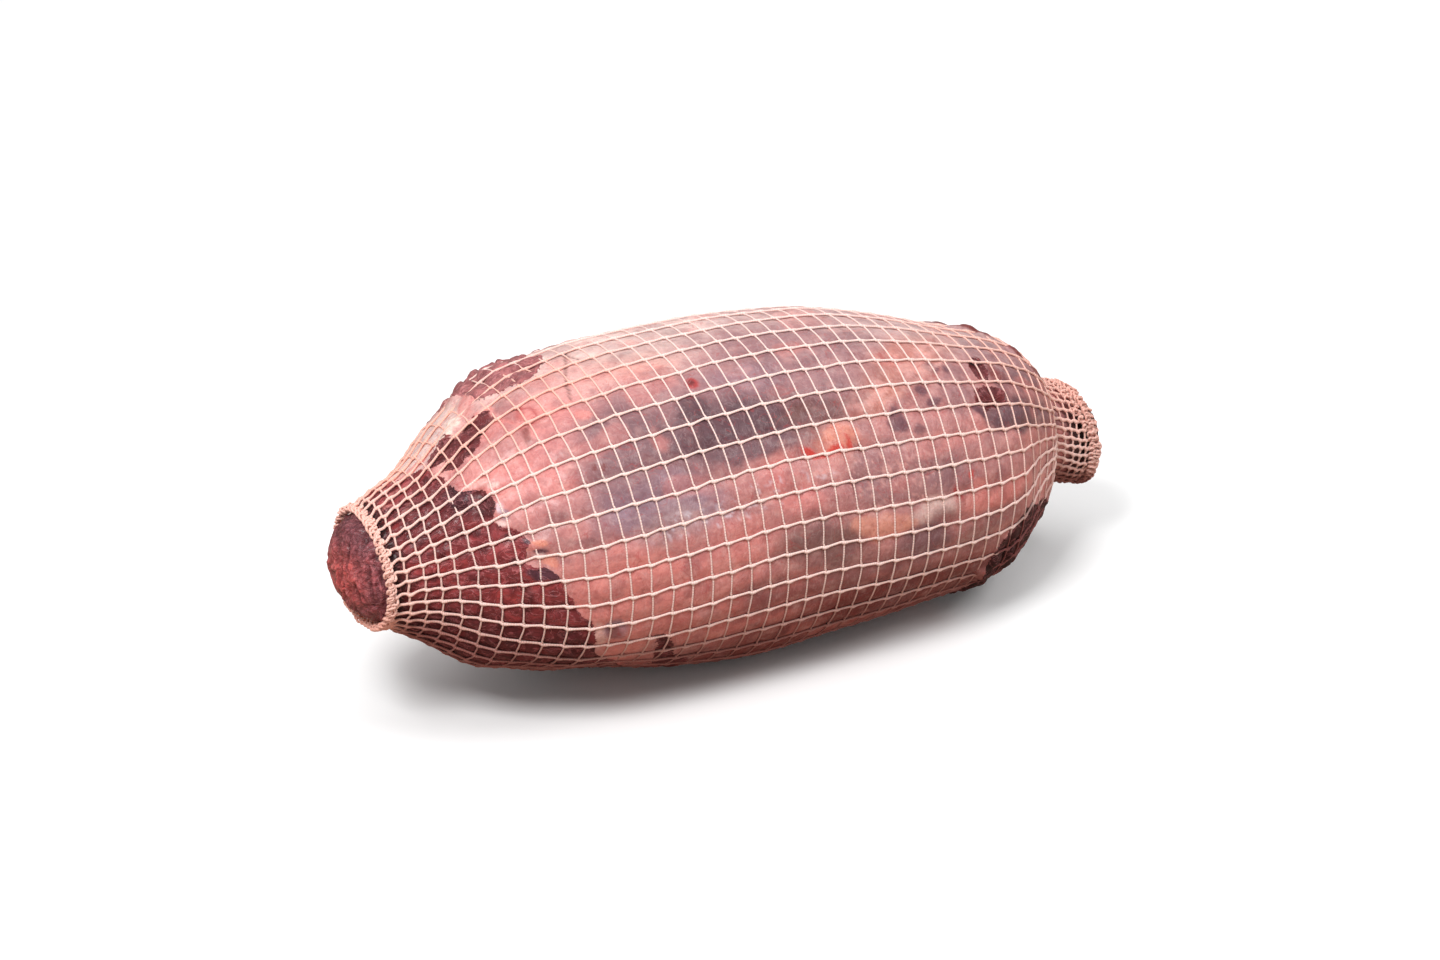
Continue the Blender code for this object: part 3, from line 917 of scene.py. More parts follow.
# %% Pillows in the openings
NET_BITE = 0.70 * MM
PILLOW_SHARE = 0.135
RING_SHARE = 0.5
cord_gap = 2.0 * math.pi / CORDS * half_width.at(meat_x)
ring_gap = np.gradient(rings)[np.clip(np.round(ring_place).astype(int), 0, RINGS - 1)]
opening = np.minimum(cord_gap, ring_gap)
across = np.abs(np.sin(math.pi * cord_place)) ** 0.7
down = np.abs(np.sin(math.pi * ring_place)) ** 0.55
fullness = 1.0 + 0.22 * lumps(skin, 16.0 * MM, 41) + 0.18 * lumps(skin, 6.0 * MM, 42)
fullness = fullness + 1.1 * rib_window + 0.35 * bare
pillow = PILLOW_SHARE * opening * fullness * across * (RING_SHARE * down + 1.0 - RING_SHARE)
print("highest pillow:", round(float(pillow.max()) / MM, 2), "mm")

# %% Lumps, ribs and the membrane's lip
RIB_PITCH = 6.8
LIP_HEIGHT = 0.45 * MM
depth = NET_BITE - pillow
depth = depth + 0.14 * MM * lumps(skin, 3.0 * MM, 43) + 0.09 * MM * lumps(skin, 1.7 * MM, 47)
depth = depth + crease_depth
bare_lumps = 0.55 * lumps(skin, 3.6 * MM, 44) + 0.38 * lumps(skin, 1.8 * MM, 45)
depth = depth + bare * MM * (0.55 + bare_lumps)
rib_phase = angle_deg + 0.12 * station_mm + 2.4 * lumps(skin, 7.0 * MM, 49)
rib_wave = np.sin(math.radians(360.0 / RIB_PITCH) * rib_phase)
ribs = 0.5 * lumps(skin, 4.6 * MM, 46, stretch=(1.0, 2.2, 2.2)) + 0.5 * rib_wave
depth = depth + rib_window * MM * ribs
lip = 4.0 * bare * (1.0 - bare)
depth = depth - LIP_HEIGHT * lip
print("mean depth under the net:", round(float(depth.mean()) / MM, 2), "mm")

# %% Ragged lumps, hanging ridges and the gaps at the mouths
# station, angle, half length, half width and height in millimetres of lumps that stand proud
CRAGS = (
    (-120.5, -6.5, 3.6, 2.8, 1.3),
    (-113.5, -9.5, 4.6, 4.2, 1.2),
    (-104.5, -17.0, 4.0, 12.0, 1.1),
    (-104.5, 1.0, 3.0, 4.2, 0.8),
    (-125.5, 32.0, 4.0, 9.0, 1.1),
    (-118.5, 33.0, 3.8, 2.8, 0.9),
    (-106.5, 67.0, 4.0, 3.0, 0.8),
    (-106.0, 80.0, 5.4, 2.4, 0.8),
    (112.0, -8.0, 5.6, 3.4, 2.1),
    (117.5, -1.5, 3.6, 3.8, 1.7),
    (124.5, 13.0, 3.4, 4.4, 2.1),
    (130.5, 25.0, 2.2, 4.0, 1.1),
    (104.0, -22.0, 5.0, 5.0, 1.0),
    (86.0, 126.0, 4.0, 4.0, 2.2),
    (-97.0, -36.0, 4.0, 7.0, 0.8),
    (-88.0, -38.0, 3.6, 7.0, 0.9),
    (-79.0, -36.0, 3.4, 6.0, 0.7),
    (-106.0, -30.0, 4.0, 6.0, 1.2),
)
for x, angle, length, width, height in CRAGS:
    depth = depth - height * MM * patch(x, angle, length, width, edge=0.6)
# the hanging meat at the collar end is pulled into ridges by the cords
hanging = collar_bare * ease(98.0, 108.0, off_top) * (1.0 - ease(132.0, 138.0, station_mm))
depth = depth + hanging * MM * (1.5 * lumps(skin, 4.0 * MM, 48, stretch=(0.8, 2.4, 2.4)) - 0.7)
mouth_gap = 1.5 * MM * np.exp(-(meat_x - GROUND_MOUTH) / (7.0 * MM))
collar_gap = 1.6 * MM * ease(142.0, 149.0, station_mm) * (1.0 - 0.8 * ease(95.0, 130.0, off_top))
depth = depth + mouth_gap + collar_gap
print("relief from", round(float(-depth.max()) / MM, 2), "to", round(float(-depth.min()) / MM, 2), "mm")

# %% [markdown]
# ## Making meshes from grids
# A grid of points that closes round the roast becomes quads by joining each point with its
# neighbours. One helper does this for every grid, and another turns the result into an object that
# rides on the model, stands for a solid and carries its attributes.

# %% Mesh helpers


def wrapped_faces(row_count, column_count):
    """Quads of a grid whose last column joins its first one."""
    row, column = np.meshgrid(np.arange(row_count - 1), np.arange(column_count), indexing="ij")
    after = (column + 1) % column_count
    here = row * column_count
    corners = (here + column, here + after, here + column_count + after, here + column_count + column)
    return np.stack(corners, axis=-1).reshape(-1, 4)


def make_piece(name, points, faces, node, tints=None, masks=None):
    """A smooth piece that rides on the roast and stands for one of its solids."""
    mesh = bpy.data.meshes.new(name)
    mesh.from_pydata(points.reshape(-1, 3).tolist(), [], [list(map(int, face)) for face in faces])
    mesh.validate()
    mesh.shade_smooth()
    for title, tint in (tints or {}).items():
        layer = mesh.color_attributes.new(name=title, type="FLOAT_COLOR", domain="POINT")
        opaque = np.concatenate([tint.reshape(-1, 3), np.ones((len(mesh.vertices), 1))], axis=1)
        layer.data.foreach_set("color", opaque.astype(np.float32).ravel())
    for title, mask in (masks or {}).items():
        layer = mesh.attributes.new(name=title, type="FLOAT", domain="POINT")
        layer.data.foreach_set("value", np.asarray(mask, np.float32).ravel())
    piece = bpy.data.objects.new(name, mesh)
    bpy.context.scene.collection.objects.link(piece)
    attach(piece, "root")
    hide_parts(node)
    return piece


print("mesh helpers ready")

# %% [markdown]
# ## The rolled meat
# The flesh is one skin from mouth to mouth. A cylinder could be sculpted to it, but here every point
# knows its opening of the net, so the skin is made straight from the places and depths above. Its own
# weight presses it on the floor, so its underside is flat there.

# %% Build the meat
MEAT_LOWEST = 0.4 * MM
PRESSED_RELIEF = 0.12
meat_points = surface_point(meat_x, meat_angle, depth)
# where it rests, the flesh is pressed flat, with a little of its relief left
pressed = MEAT_LOWEST + PRESSED_RELIEF * np.clip(depth + NET_BITE, 0.0, None)
meat_points[..., 2] = np.maximum(meat_points[..., 2], pressed)
# low down, bare meat hangs in its own shade and is less glossy
dull = bare * ease(88.0, 112.0, off_top)


def build_meat(name, first, last):
    """The meat from one row of points to another."""
    run = slice(first, last + 1)
    return make_piece(
        name,
        meat_points[run],
        wrapped_faces(last + 1 - first, columns),
        "meat",
        tints={"membrane": flesh[run], "muscle": raw[run]},
        masks={"bare": bare_reach[run], "dull": dull[run]},
    )


# two pieces keep each one light, and a ring thread hides where they meet
seam_row = RINGS // 2 * LONG_STEPS
ground_half = build_meat("rolled_meat_ground_half", 0, seam_row)
collar_half = build_meat("rolled_meat_collar_half", seam_row, rows - 1)
print("meat:", len(ground_half.data.polygons), "and", len(collar_half.data.polygons), "faces")

# %% [markdown]
# ## The ground ends
# At both mouths the net leaves the meat open. There it bulges out in a dome of coarse trimmings,
# pressed together: strands and lumps of every size. A dome is a disc of rings and spokes, lifted in
# the middle. Three sizes of noise along its normals give it the lumps, the strands and the crumb. The
# noise of the strands is read at places that are bent by coarser noise, which curls them.

# %% The shape of a dome
DOME_SPOKES = 168
DOME_RINGS = 64
DOME_TUCK = 2.4 * MM
DOME_INSET = 2.0 * MM
GROUND_END = 166.8 * MM
COLLAR_END = 166.4 * MM
# station of the rim, way out, height of the dome above the rim, and how far it droops
GROUND_DOME = (float(rings[0]) + DOME_INSET, -1.0, GROUND_END + float(rings[0]) + DOME_INSET, -1.6 * MM)
COLLAR_DOME = (float(rings[-1]) - DOME_INSET, 1.0, COLLAR_END - float(rings[-1]) + DOME_INSET, 1.0 * MM)


def dome_points(mouth, way, height, droop):
    """A lifted disc in the mouth of the net, with its share from the middle to the edge."""
    share, turn = np.meshgrid(
        np.linspace(1.0, 0.0, DOME_RINGS) ** 0.8,
        np.arange(DOME_SPOKES) * 2.0 * math.pi / DOME_SPOKES,
        indexing="ij",
    )
    lift = np.maximum(1.0 - share**2.3, 0.0) ** 0.62
    base = mouth + 0.0 * share
    rim = surface_point(base, turn, DOME_TUCK + 0.0 * share)
    middle = np.array([mouth, 0.0, float(axis_height.at(mouth))])
    points = middle + (rim - middle) * (share**0.92)[..., None]
    points[..., 0] += way * height * lift
    points[..., 2] -= droop * lift
    return points, share


def grid_normals(points, way):
    """Outward directions of a wrapped grid of points."""
    down = np.gradient(points, axis=0)
    across = np.roll(points, -1, axis=1) - np.roll(points, 1, axis=1)
    normals = np.cross(across, down) * way
    normals[-1] = (way, 0.0, 0.0)
    return unit(normals)


print("dome grid:", DOME_RINGS, "by", DOME_SPOKES, "points")

# %% Build the two domes


def make_dome(name, mouth, way, height, droop, tones):
    """One ground end, lumpy and stringy, with a tone for its middle, its edge and its flecks."""
    points, share = dome_points(mouth, way, height, droop)
    normals = grid_normals(points, -way)
    normals = normals * np.sign(normals[-1, 0, 0] * way)
    coarse = lumps(points, 5.0 * MM, 51)
    curl = np.stack([lumps(points, 8.0 * MM, 56 + axis) for axis in range(3)], axis=-1)
    strings = lumps(points + 4.0 * MM * curl, 1.5 * MM, 52, stretch=(1.0, 0.9, 3.2))
    crumb = lumps(points, 1.1 * MM, 53)
    relief = (0.8 * coarse + 0.85 * strings + 0.25 * crumb) * MM
    points = points + normals * (relief * ease(0.0, 0.06, 1.0 - share))[..., None]
    middle, edge, fleck = (PAINTS[tone] for tone in tones)
    outward = ease(0.25, 0.95, share + 0.25 * lumps(points, 8.0 * MM, 54))
    colour = lay(middle, edge, outward)
    pale = ease(0.45, 0.85, lumps(points, 2.0 * MM, 55, stretch=(1.0, 0.7, 1.8)))
    colour = lay(colour, fleck, 0.5 * pale)
    height_share = (points[..., 2] - float(axis_height.at(mouth))) / float(half_height.at(mouth))
    colour = lay(colour, 0.7 * edge, 0.75 * ease(0.25, 0.75, height_share))
    shade = 1.0 + 0.5 * strings + 0.2 * coarse + 0.15 * crumb
    colour = np.clip(colour * shade[..., None], 0.0, 1.0)
    faces = wrapped_faces(DOME_RINGS, DOME_SPOKES)
    if way < 0.0:
        faces = faces[:, ::-1]
    return make_piece(
        name,
        points,
        faces,
        "meat",
        tints={"membrane": colour, "muscle": colour},
        masks={"bare": np.full(share.shape, REACH_LIMIT)},
    )


ground_end = make_dome("ground_end", *GROUND_DOME, ("ground red", "ground brown", "dusty maroon"))
collar_end = make_dome("collar_end", *COLLAR_DOME, ("red brown", "maroon", "dusty maroon"))
print("domes:", len(ground_end.data.polygons), "and", len(collar_end.data.polygons), "faces")

# %% [markdown]
# ## The cords and threads
# A curve with a bevel would do for one cord, but here are 34 cords and 48 rings. They are swept as
# tubes in numpy: a ring of corners round each point of the path, flattened against the meat. Knitted
# elastic isn't even. It thickens where a ring thread is tied in, steps aside there, and bunches up
# towards the mouths. Each corner carries how salmon the thread is there, how dark it is painted, with blood
# stains and with painted shade low down, and how far along the thread it lies, which the material needs
# for the winding of the yarn.

# %% A helper that sweeps tubes


def sweep_tubes(paths, normals, half_widths, half_heights, sides, closed):
    """Tubes along many paths at once: a ring of corners round each point of a path, and the quads."""
    count, samples, _ = paths.shape
    if closed:
        tangents = unit(np.roll(paths, -1, axis=1) - np.roll(paths, 1, axis=1))
    else:
        tangents = unit(np.gradient(paths, axis=1))
    side = unit(np.cross(tangents, normals))
    up = unit(np.cross(side, tangents))
    turn = np.arange(sides) * 2.0 * math.pi / sides
    wide = (half_widths[..., None] * np.cos(turn))[..., None] * side[:, :, None]
    high = (half_heights[..., None] * np.sin(turn))[..., None] * up[:, :, None]
    points = paths[:, :, None] + wide + high
    tube, step, corner = np.meshgrid(
        np.arange(count), np.arange(samples if closed else samples - 1), np.arange(sides), indexing="ij"
    )
    ahead = (step + 1) % samples
    beside = (corner + 1) % sides

    def index(at_step, at_corner):
        """The number of one corner, counted through all the tubes."""
        return (tube * samples + at_step) * sides + at_corner

    quads = np.stack(
        [index(step, corner), index(ahead, corner), index(ahead, beside), index(step, beside)], axis=-1
    ).reshape(-1, 4)
    faces = quads.tolist()
    if not closed:
        for first in range(count):
            start = first * samples * sides
            end = start + (samples - 1) * sides
            faces.append(list(range(start, start + sides)))
            faces.append(list(range(end + sides - 1, end - 1, -1)))
    return points, faces


print("tube helper ready")

# %% How salmon, stained and bunched a thread is


def thread_tone(x, angle):
    """How salmon a thread is: stained towards the mouths and on the fatty shoulder."""
    mouth = np.exp(-(x - GROUND_MOUTH) / (16.0 * MM)) + np.exp(-(COLLAR_MOUTH - x) / (18.0 * MM))
    turn = half_turn(np.degrees(angle))
    places = (x / MM, turn)
    shoulder = patch(-96.0, 2.0, 44.0, 26.0, 0.0, 0.6, places)
    shoulder = np.maximum(shoulder, 1.2 * patch(-122.0, -26.0, 26.0, 24.0, 0.0, 0.5, places))
    collar_side = patch(120.0, 10.0, 40.0, 60.0, 0.0, 0.8, places)
    # low down the threads turn more salmon and darker: partly juice, partly painted shade
    low = ease(95.0, 150.0, np.abs(turn))
    return np.clip(0.08 + 0.55 * mouth + 0.75 * shoulder + 0.55 * collar_side + 0.7 * low, 0.0, 1.0)


def thread_stain_and_shade(x, angle):
    """How dark a thread is painted: blood stains and painted shade, over the hanging flap, under the collar
    end, on the underside, and a little round the collar.
    """
    turn = half_turn(np.degrees(angle))
    hanging = ease(1.0, 5.0, flap_reach(x / MM, turn))
    under_collar = ease(105.0, 130.0, np.abs(turn)) * ease(138.0, 144.0, x / MM)
    under = 0.8 * ease(104.0, 138.0, np.abs(turn)) * ease(1.0, 9.0, (x - GROUND_MOUTH) / MM)
    collar = 0.12 * ease(138.0, 150.0, x / MM)
    return np.clip(np.maximum.reduce([0.96 * hanging, 0.6 * under_collar, under, collar]), 0.0, 1.0)


def thread_masks(x, angle, run, sides):
    """The masks of every corner round each point of a thread."""
    masks = {"salmon": thread_tone(x, angle), "stain": thread_stain_and_shade(x, angle), "run": run}
    return {title: np.repeat(mask[..., None], sides, axis=-1) for title, mask in masks.items()}


def mouth_bunching(x):
    """1 at the mouths of the net, fading to 0 where the net is stretched."""
    left = np.exp(-(x - GROUND_MOUTH) / (8.0 * MM))
    right = np.exp(-(COLLAR_MOUTH - x) / (9.0 * MM))
    return np.clip(left + right, 0.0, 1.0)


flap_stain_and_shade = thread_stain_and_shade(np.array([110.0 * MM]), np.array([math.radians(FLAP_MIDDLE)]))
print("stain of the threads over the hanging flap:", round(float(flap_stain_and_shade[0]), 2))

# %% Lengthwise cords
# reach and lag of a knot are shares of the way from one ring to the next
CORD_SAMPLES = 7
CORD_SIDES = 8
CORD_HALF_WIDTH = 0.48 * MM
CORD_HALF_HEIGHT = 0.43 * MM
KNOT_SWELL = 0.6
KNOT_REACH = 0.16
KNOT_LAG = 0.06
KNOT_RISE = 0.12 * MM
CORD_STEP = 0.34 * MM
CORD_CURL = 0.5 * MM
CORD_BUCKLE = 0.3 * MM
CORD_YARN_TURNS = 8.0


def build_cords():
    """All lengthwise cords as one piece."""
    samples = (RINGS - 1) * CORD_SAMPLES + 1
    cord, ring = np.meshgrid(np.arange(CORDS), np.arange(samples) / CORD_SAMPLES, indexing="ij")
    x, angle = on_net(ring, cord.astype(float))
    past_knot = (ring - KNOT_LAG) % 1.0
    knot = np.exp(-((np.minimum(past_knot, 1.0 - past_knot) / KNOT_REACH) ** 2))
    bunching = mouth_bunching(x)
    wave = np.sin(2.0 * math.pi * (ring + 0.37 * cord))
    sway = CORD_STEP * (1.0 - 2.0 * (ring % 1.0)) + CORD_CURL * bunching * wave
    angle = angle + sway / half_width.at(x)
    grown = 1.0 + KNOT_SWELL * knot + 0.3 * bunching + 0.1 * lumps(surface_point(x, angle), 2.0 * MM, 61)
    # round the collar's neck the cords are packed and fuller
    grown = grown + 0.3 * np.exp(-(((x / MM - 142.0) / 12.0) ** 2))
    half_widths = CORD_HALF_WIDTH * grown
    half_heights = CORD_HALF_HEIGHT * grown
    rise = KNOT_RISE * knot + CORD_BUCKLE * bunching * np.cos(2.0 * math.pi * ring)
    path = surface_point(x, angle, -rise)
    path[..., 2] = np.maximum(path[..., 2], half_heights)
    points, faces = sweep_tubes(path, surface_normal(x, angle), half_widths, half_heights, CORD_SIDES, False)
    masks = thread_masks(x, angle, ring * CORD_YARN_TURNS, CORD_SIDES)
    return make_piece("lengthwise_cords", points, faces, "net", masks=masks)


cords = build_cords()
print("cords:", len(cords.data.polygons), "faces")

# %% [markdown]
# The ring threads are thinner than the cords and run round the roast. Each is tied in at every cord, so
# it thickens and lies lower there, and between two cords it rides over the pillow. It steps aside at
# each cord too, which is why a knitted net looks like a row of small brackets.

# %% Ring threads
# the reach of a knot is a share of the way from one cord to the next
THREAD_SAMPLES = 7
THREAD_SIDES = 6
THREAD_RADIUS = 0.34 * MM
THREAD_JOG = 0.30 * MM
THREAD_SINK = 0.16 * MM
THREAD_LIFT = 0.2 * MM
THREAD_KNOT_REACH = 0.12
THREAD_YARN_TURNS = 11.0


def build_threads():
    """All ring threads but the one at the collar's mouth, as one piece."""
    samples = CORDS * THREAD_SAMPLES
    ring, cord = np.meshgrid(np.arange(RINGS - 1), np.arange(samples) / THREAD_SAMPLES, indexing="ij")
    x, angle = on_net(ring.astype(float), cord)
    between = cord % 1.0
    bunching = mouth_bunching(x)
    x = x + THREAD_JOG * (1.0 - 2.0 * between) * (1.0 + bunching)
    grown = 1.0 + 0.5 * bunching + 0.12 * lumps(surface_point(x, angle), 3.0 * MM, 62)
    grown = grown + 0.35 * np.exp(-((np.minimum(between, 1.0 - between) / THREAD_KNOT_REACH) ** 2))
    radius = THREAD_RADIUS * grown
    sunk = THREAD_SINK - THREAD_LIFT * np.sin(math.pi * between)
    path = surface_point(x, angle, sunk)
    path[..., 2] = np.maximum(path[..., 2], radius)
    points, faces = sweep_tubes(path, surface_normal(x, angle), radius, radius, THREAD_SIDES, True)
    masks = thread_masks(x, angle, cord * THREAD_YARN_TURNS, THREAD_SIDES)
    return make_piece("ring_threads", points, faces, "net", masks=masks)


threads = build_threads()
print("ring threads:", len(threads.data.polygons), "faces")

# %% [markdown]
# ## The curly mouths
# Cut elastic springs back. At each mouth the loose stitches curl into a band of small loops. Each band
# is a few strands that wind round the rim like a spring, each with its own number of turns and its own
# unevenness, so that no two loops match. Some strands stray from the rim: back over the collar's top,
# and out under the ground end.

# %% The strands of the two bands
CURL_SAMPLES = 14
CURL_SIDES = 6
CURL_YARN_TURNS = 1.2
SLIDE_POINTS = 13
# turns round the band, radius of the loops, shift along the roast and out from it, thread half width,
# and how far the strand strays: over the collar's top, or out under the ground end
GROUND_CURLS = (
    (37, 1.15, -0.5, 0.7, 0.55, 0.0),
    (46, 0.95, -1.2, 0.9, 0.50, 1.2),
    (31, 1.00, 0.5, 0.5, 0.52, 0.0),
    (52, 0.75, -0.5, 1.2, 0.46, 2.0),
    (41, 0.80, 0.0, 1.2, 0.46, 0.6),
)
COLLAR_CURLS = (
    (40, 1.45, -1.6, 0.6, 0.52, 0.0),
    (50, 1.20, -3.0, 0.9, 0.50, 1.5),
    (60, 1.00, -4.4, 0.5, 0.48, 4.0),
    (35, 1.20, -0.6, -0.4, 0.50, 0.0),
    (46, 1.00, -2.0, 1.6, 0.48, 3.0),
    (44, 1.10, -3.6, 0.7, 0.46, 7.0),
)
print("strands:", len(GROUND_CURLS), "and", len(COLLAR_CURLS))

# %% Build the curly bands


def wandering(draw, share, low, high, count):
    """A value that wanders along a strand and comes back to where it began."""
    value = np.interp(share, np.linspace(0.0, 1.0, count), draw.uniform(low, high, count))
    value[-CURL_SAMPLES:] = np.linspace(value[-CURL_SAMPLES], value[0], CURL_SAMPLES)
    return value


def build_curls(name, mouth, curls, stray_side, seed):
    """The band of sprung stitches at one mouth, as one piece."""
    draw = np.random.default_rng(seed)
    all_points = []
    all_faces = []
    all_masks = []
    start = 0
    for turns, radius, shift, lift, thick, back in curls:
        samples = turns * CURL_SAMPLES
        share = np.arange(samples) / samples
        round_rim = 2.0 * math.pi * share
        wobble = wandering(draw, share, 0.35, 1.6, turns + 1)
        slide = wandering(draw, share, -0.5, 0.5, SLIDE_POINTS)
        coil = turns * round_rim
        loop = radius * MM * wobble
        ride = shift + slide - back * ease(0.1, 0.9, stray_side * np.cos(round_rim))
        x = mouth + ride * MM + loop * np.cos(coil)
        angle = round_rim + 0.35 * loop * np.sin(2.0 * coil) / (20.0 * MM)
        base_x = np.clip(x, GROUND_MOUTH, COLLAR_MOUTH)
        path = surface_point(base_x, angle, -(lift * MM + 0.8 * loop * np.sin(coil)))
        path[:, 0] = x
        widths = np.full(samples, thick * MM) * (1.0 + 0.15 * np.sin(3.0 * coil))
        normals = unit(path - np.stack([x, 0.0 * x, axis_height.at(base_x)], axis=-1))
        points, faces = sweep_tubes(path[None], normals[None], widths[None], widths[None], CURL_SIDES, True)
        all_points.append(points.reshape(-1, 3))
        all_faces.extend([[corner + start for corner in face] for face in faces])
        all_masks.append(thread_masks(x, angle, coil * CURL_YARN_TURNS, CURL_SIDES))
        start += samples * CURL_SIDES
    masks = {title: np.concatenate([m[title].ravel() for m in all_masks]) for title in all_masks[0]}
    return make_piece(name, np.concatenate(all_points), all_faces, "net", masks=masks)


ground_band = build_curls("ground_mouth_band", GROUND_MOUTH, GROUND_CURLS, -1.0, 71)
collar_band = build_curls("collar_mouth_band", COLLAR_MOUTH, COLLAR_CURLS, 1.0, 72)
print("bands:", len(ground_band.data.polygons), "and", len(collar_band.data.polygons), "faces")

# %% [markdown]
# ## Shader groups
# Both kinds of meat need the same fine detail: fibres, mottling and a wet film whose gloss comes and
# goes. Threads need the winding of their yarn. Made once as node groups, they can be placed in each
# material with other numbers. The groups put out plain values, and the Principled shader stays in the
# material.

# %% Helpers for groups and links


def new_group(name, inputs, outputs):
    """An empty shader group with named float inputs and outputs."""
    group = bpy.data.node_groups.new(name, "ShaderNodeTree")
    for title, value in inputs.items():
        socket = group.interface.new_socket(title, in_out="INPUT", socket_type="NodeSocketFloat")
        socket.default_value = value
    for title in outputs:
        group.interface.new_socket(title, in_out="OUTPUT", socket_type="NodeSocketFloat")
    return group, group.nodes.new("NodeGroupInput"), group.nodes.new("NodeGroupOutput")


def join(tree, source, target):
    """A link, or a plain value where the source is a number."""
    if isinstance(source, (int, float)):
        target.default_value = source
    else:
        tree.links.new(source, target)


print("group helpers ready")

# %% Helpers for maths, noise and colours


def maths(tree, operation, first, second=0.0, third=0.0):
    """The output of one Math node."""
    node = tree.nodes.new("ShaderNodeMath")
    node.operation = operation
    for socket, source in zip(node.inputs, (first, second, third)):
        join(tree, source, socket)
    return node.outputs[0]


def remap(tree, value, low, high, to_low=0.0, to_high=1.0):
    """A value brought from one range to another, and held inside it."""
    node = tree.nodes.new("ShaderNodeMapRange")
    node.interpolation_type = "SMOOTHSTEP"
    for title, source in zip(
        ("Value", "From Min", "From Max", "To Min", "To Max"), (value, low, high, to_low, to_high)
    ):
        join(tree, source, node.inputs[title])
    return node.outputs["Result"]


def noise(tree, vector, scale, detail=3.0, distortion=0.0):
    """The value of one Noise Texture."""
    node = tree.nodes.new("ShaderNodeTexNoise")
    tree.links.new(vector, node.inputs["Vector"])
    join(tree, scale, node.inputs["Scale"])
    node.inputs["Detail"].default_value = detail
    node.inputs["Distortion"].default_value = distortion
    return node.outputs["Fac"]


def blend(tree, mode, share, below, above):
    """One colour laid over another."""
    node = tree.nodes.new("ShaderNodeMix")
    node.data_type = "RGBA"
    node.blend_type = mode
    join(tree, share, node.inputs[0])
    for source, socket in ((below, node.inputs[6]), (above, node.inputs[7])):
        if isinstance(source, bpy.types.NodeSocket):
            tree.links.new(source, socket)
        else:
            socket.default_value = (*source, 1.0)
    return node.outputs[2]


print("node helpers ready")

# %% Helpers for the shared groups


def stretched_place(tree, stretch):
    """Object coordinates, squeezed along X so that noise draws out into fibres."""
    place = tree.nodes.new("ShaderNodeTexCoord")
    mapping = tree.nodes.new("ShaderNodeMapping")
    mapping.inputs["Scale"].default_value = stretch
    tree.links.new(place.outputs["Object"], mapping.inputs["Vector"])
    return mapping.outputs["Vector"]


def ridge(tree, value, width):
    """1 along the thin lines where a noise passes its middle, and 0 away from them."""
    off_line = maths(tree, "ABSOLUTE", maths(tree, "SUBTRACT", value, 0.5))
    return remap(tree, off_line, 0.0, width, 1.0, 0.0)


print("fibre and ridge helpers ready")

# %% Build the shared groups


def build_fibre_group():
    """Muscle fibres: curled light and dark strands, and a fine height for bump."""
    group, given, made = new_group("muscle fibres", {"Scale": 600.0}, ("Fibres", "Strands", "Height"))
    vector = stretched_place(group, (0.6, 1.0, 1.0))
    fine = noise(group, vector, given.outputs["Scale"], 5.0, 1.2)
    broad = noise(group, vector, maths(group, "MULTIPLY", given.outputs["Scale"], 0.4), 3.0, 2.4)
    both = maths(group, "ADD", maths(group, "MULTIPLY", fine, 0.55), maths(group, "MULTIPLY", broad, 0.45))
    group.links.new(remap(group, both, 0.40, 0.60), made.inputs["Fibres"])
    strands = ridge(group, broad, 0.05)
    group.links.new(strands, made.inputs["Strands"])
    group.links.new(maths(group, "MULTIPLY_ADD", strands, 0.25, both), made.inputs["Height"])
    return group


def build_film_group():
    """The wet film: mottled colour, patchy gloss, thin vessels, pale fat lines and wrinkles."""
    outputs = ("Mottle", "Speckle", "Gloss", "Vessels", "Fat Lines", "Wrinkle")
    group, given, made = new_group("wet film", {"Scale": 160.0}, outputs)
    vector = stretched_place(group, (0.7, 1.0, 1.0))
    scale = given.outputs["Scale"]

    def scaled(share):
        """The group's scale, taken a number of times."""
        return maths(group, "MULTIPLY", scale, share)

    across = stretched_place(group, (1.0, 0.6, 0.6))
    folds = stretched_place(group, (1.0, 0.45, 0.45))
    values = (
        remap(group, noise(group, vector, scale, 6.0, 0.6), 0.40, 0.62),
        remap(group, noise(group, vector, scaled(5.0), 4.0, 0.4), 0.42, 0.62),
        remap(group, noise(group, vector, scaled(0.9), 4.0, 0.2), 0.35, 0.65),
        ridge(group, noise(group, vector, scaled(0.4), 3.0, 1.8), 0.010),
        ridge(group, noise(group, across, scaled(1.3), 4.0, 1.4), 0.03),
        noise(group, folds, scaled(2.2), 5.0, 1.2),
    )
    for title, value in zip(outputs, values):
        group.links.new(value, made.inputs[title])
    return group


def build_wrap_group():
    """The yarn wound round an elastic thread: slanting stripes, and loose fuzz."""
    group, given, made = new_group("wound yarn", {"Run": 0.0, "Turns": 3.0}, ("Stripe", "Fuzz"))
    turns = maths(group, "MULTIPLY", given.outputs["Run"], given.outputs["Turns"])
    wave = maths(group, "SINE", turns)
    group.links.new(remap(group, wave, -1.0, 1.0), made.inputs["Stripe"])
    fuzz = noise(group, stretched_place(group, (1.0, 1.0, 1.0)), 2600.0, 2.0)
    group.links.new(fuzz, made.inputs["Fuzz"])
    return group


fibre_group = build_fibre_group()
film_group = build_film_group()
wrap_group = build_wrap_group()
print("groups:", [group.name for group in (fibre_group, film_group, wrap_group)])

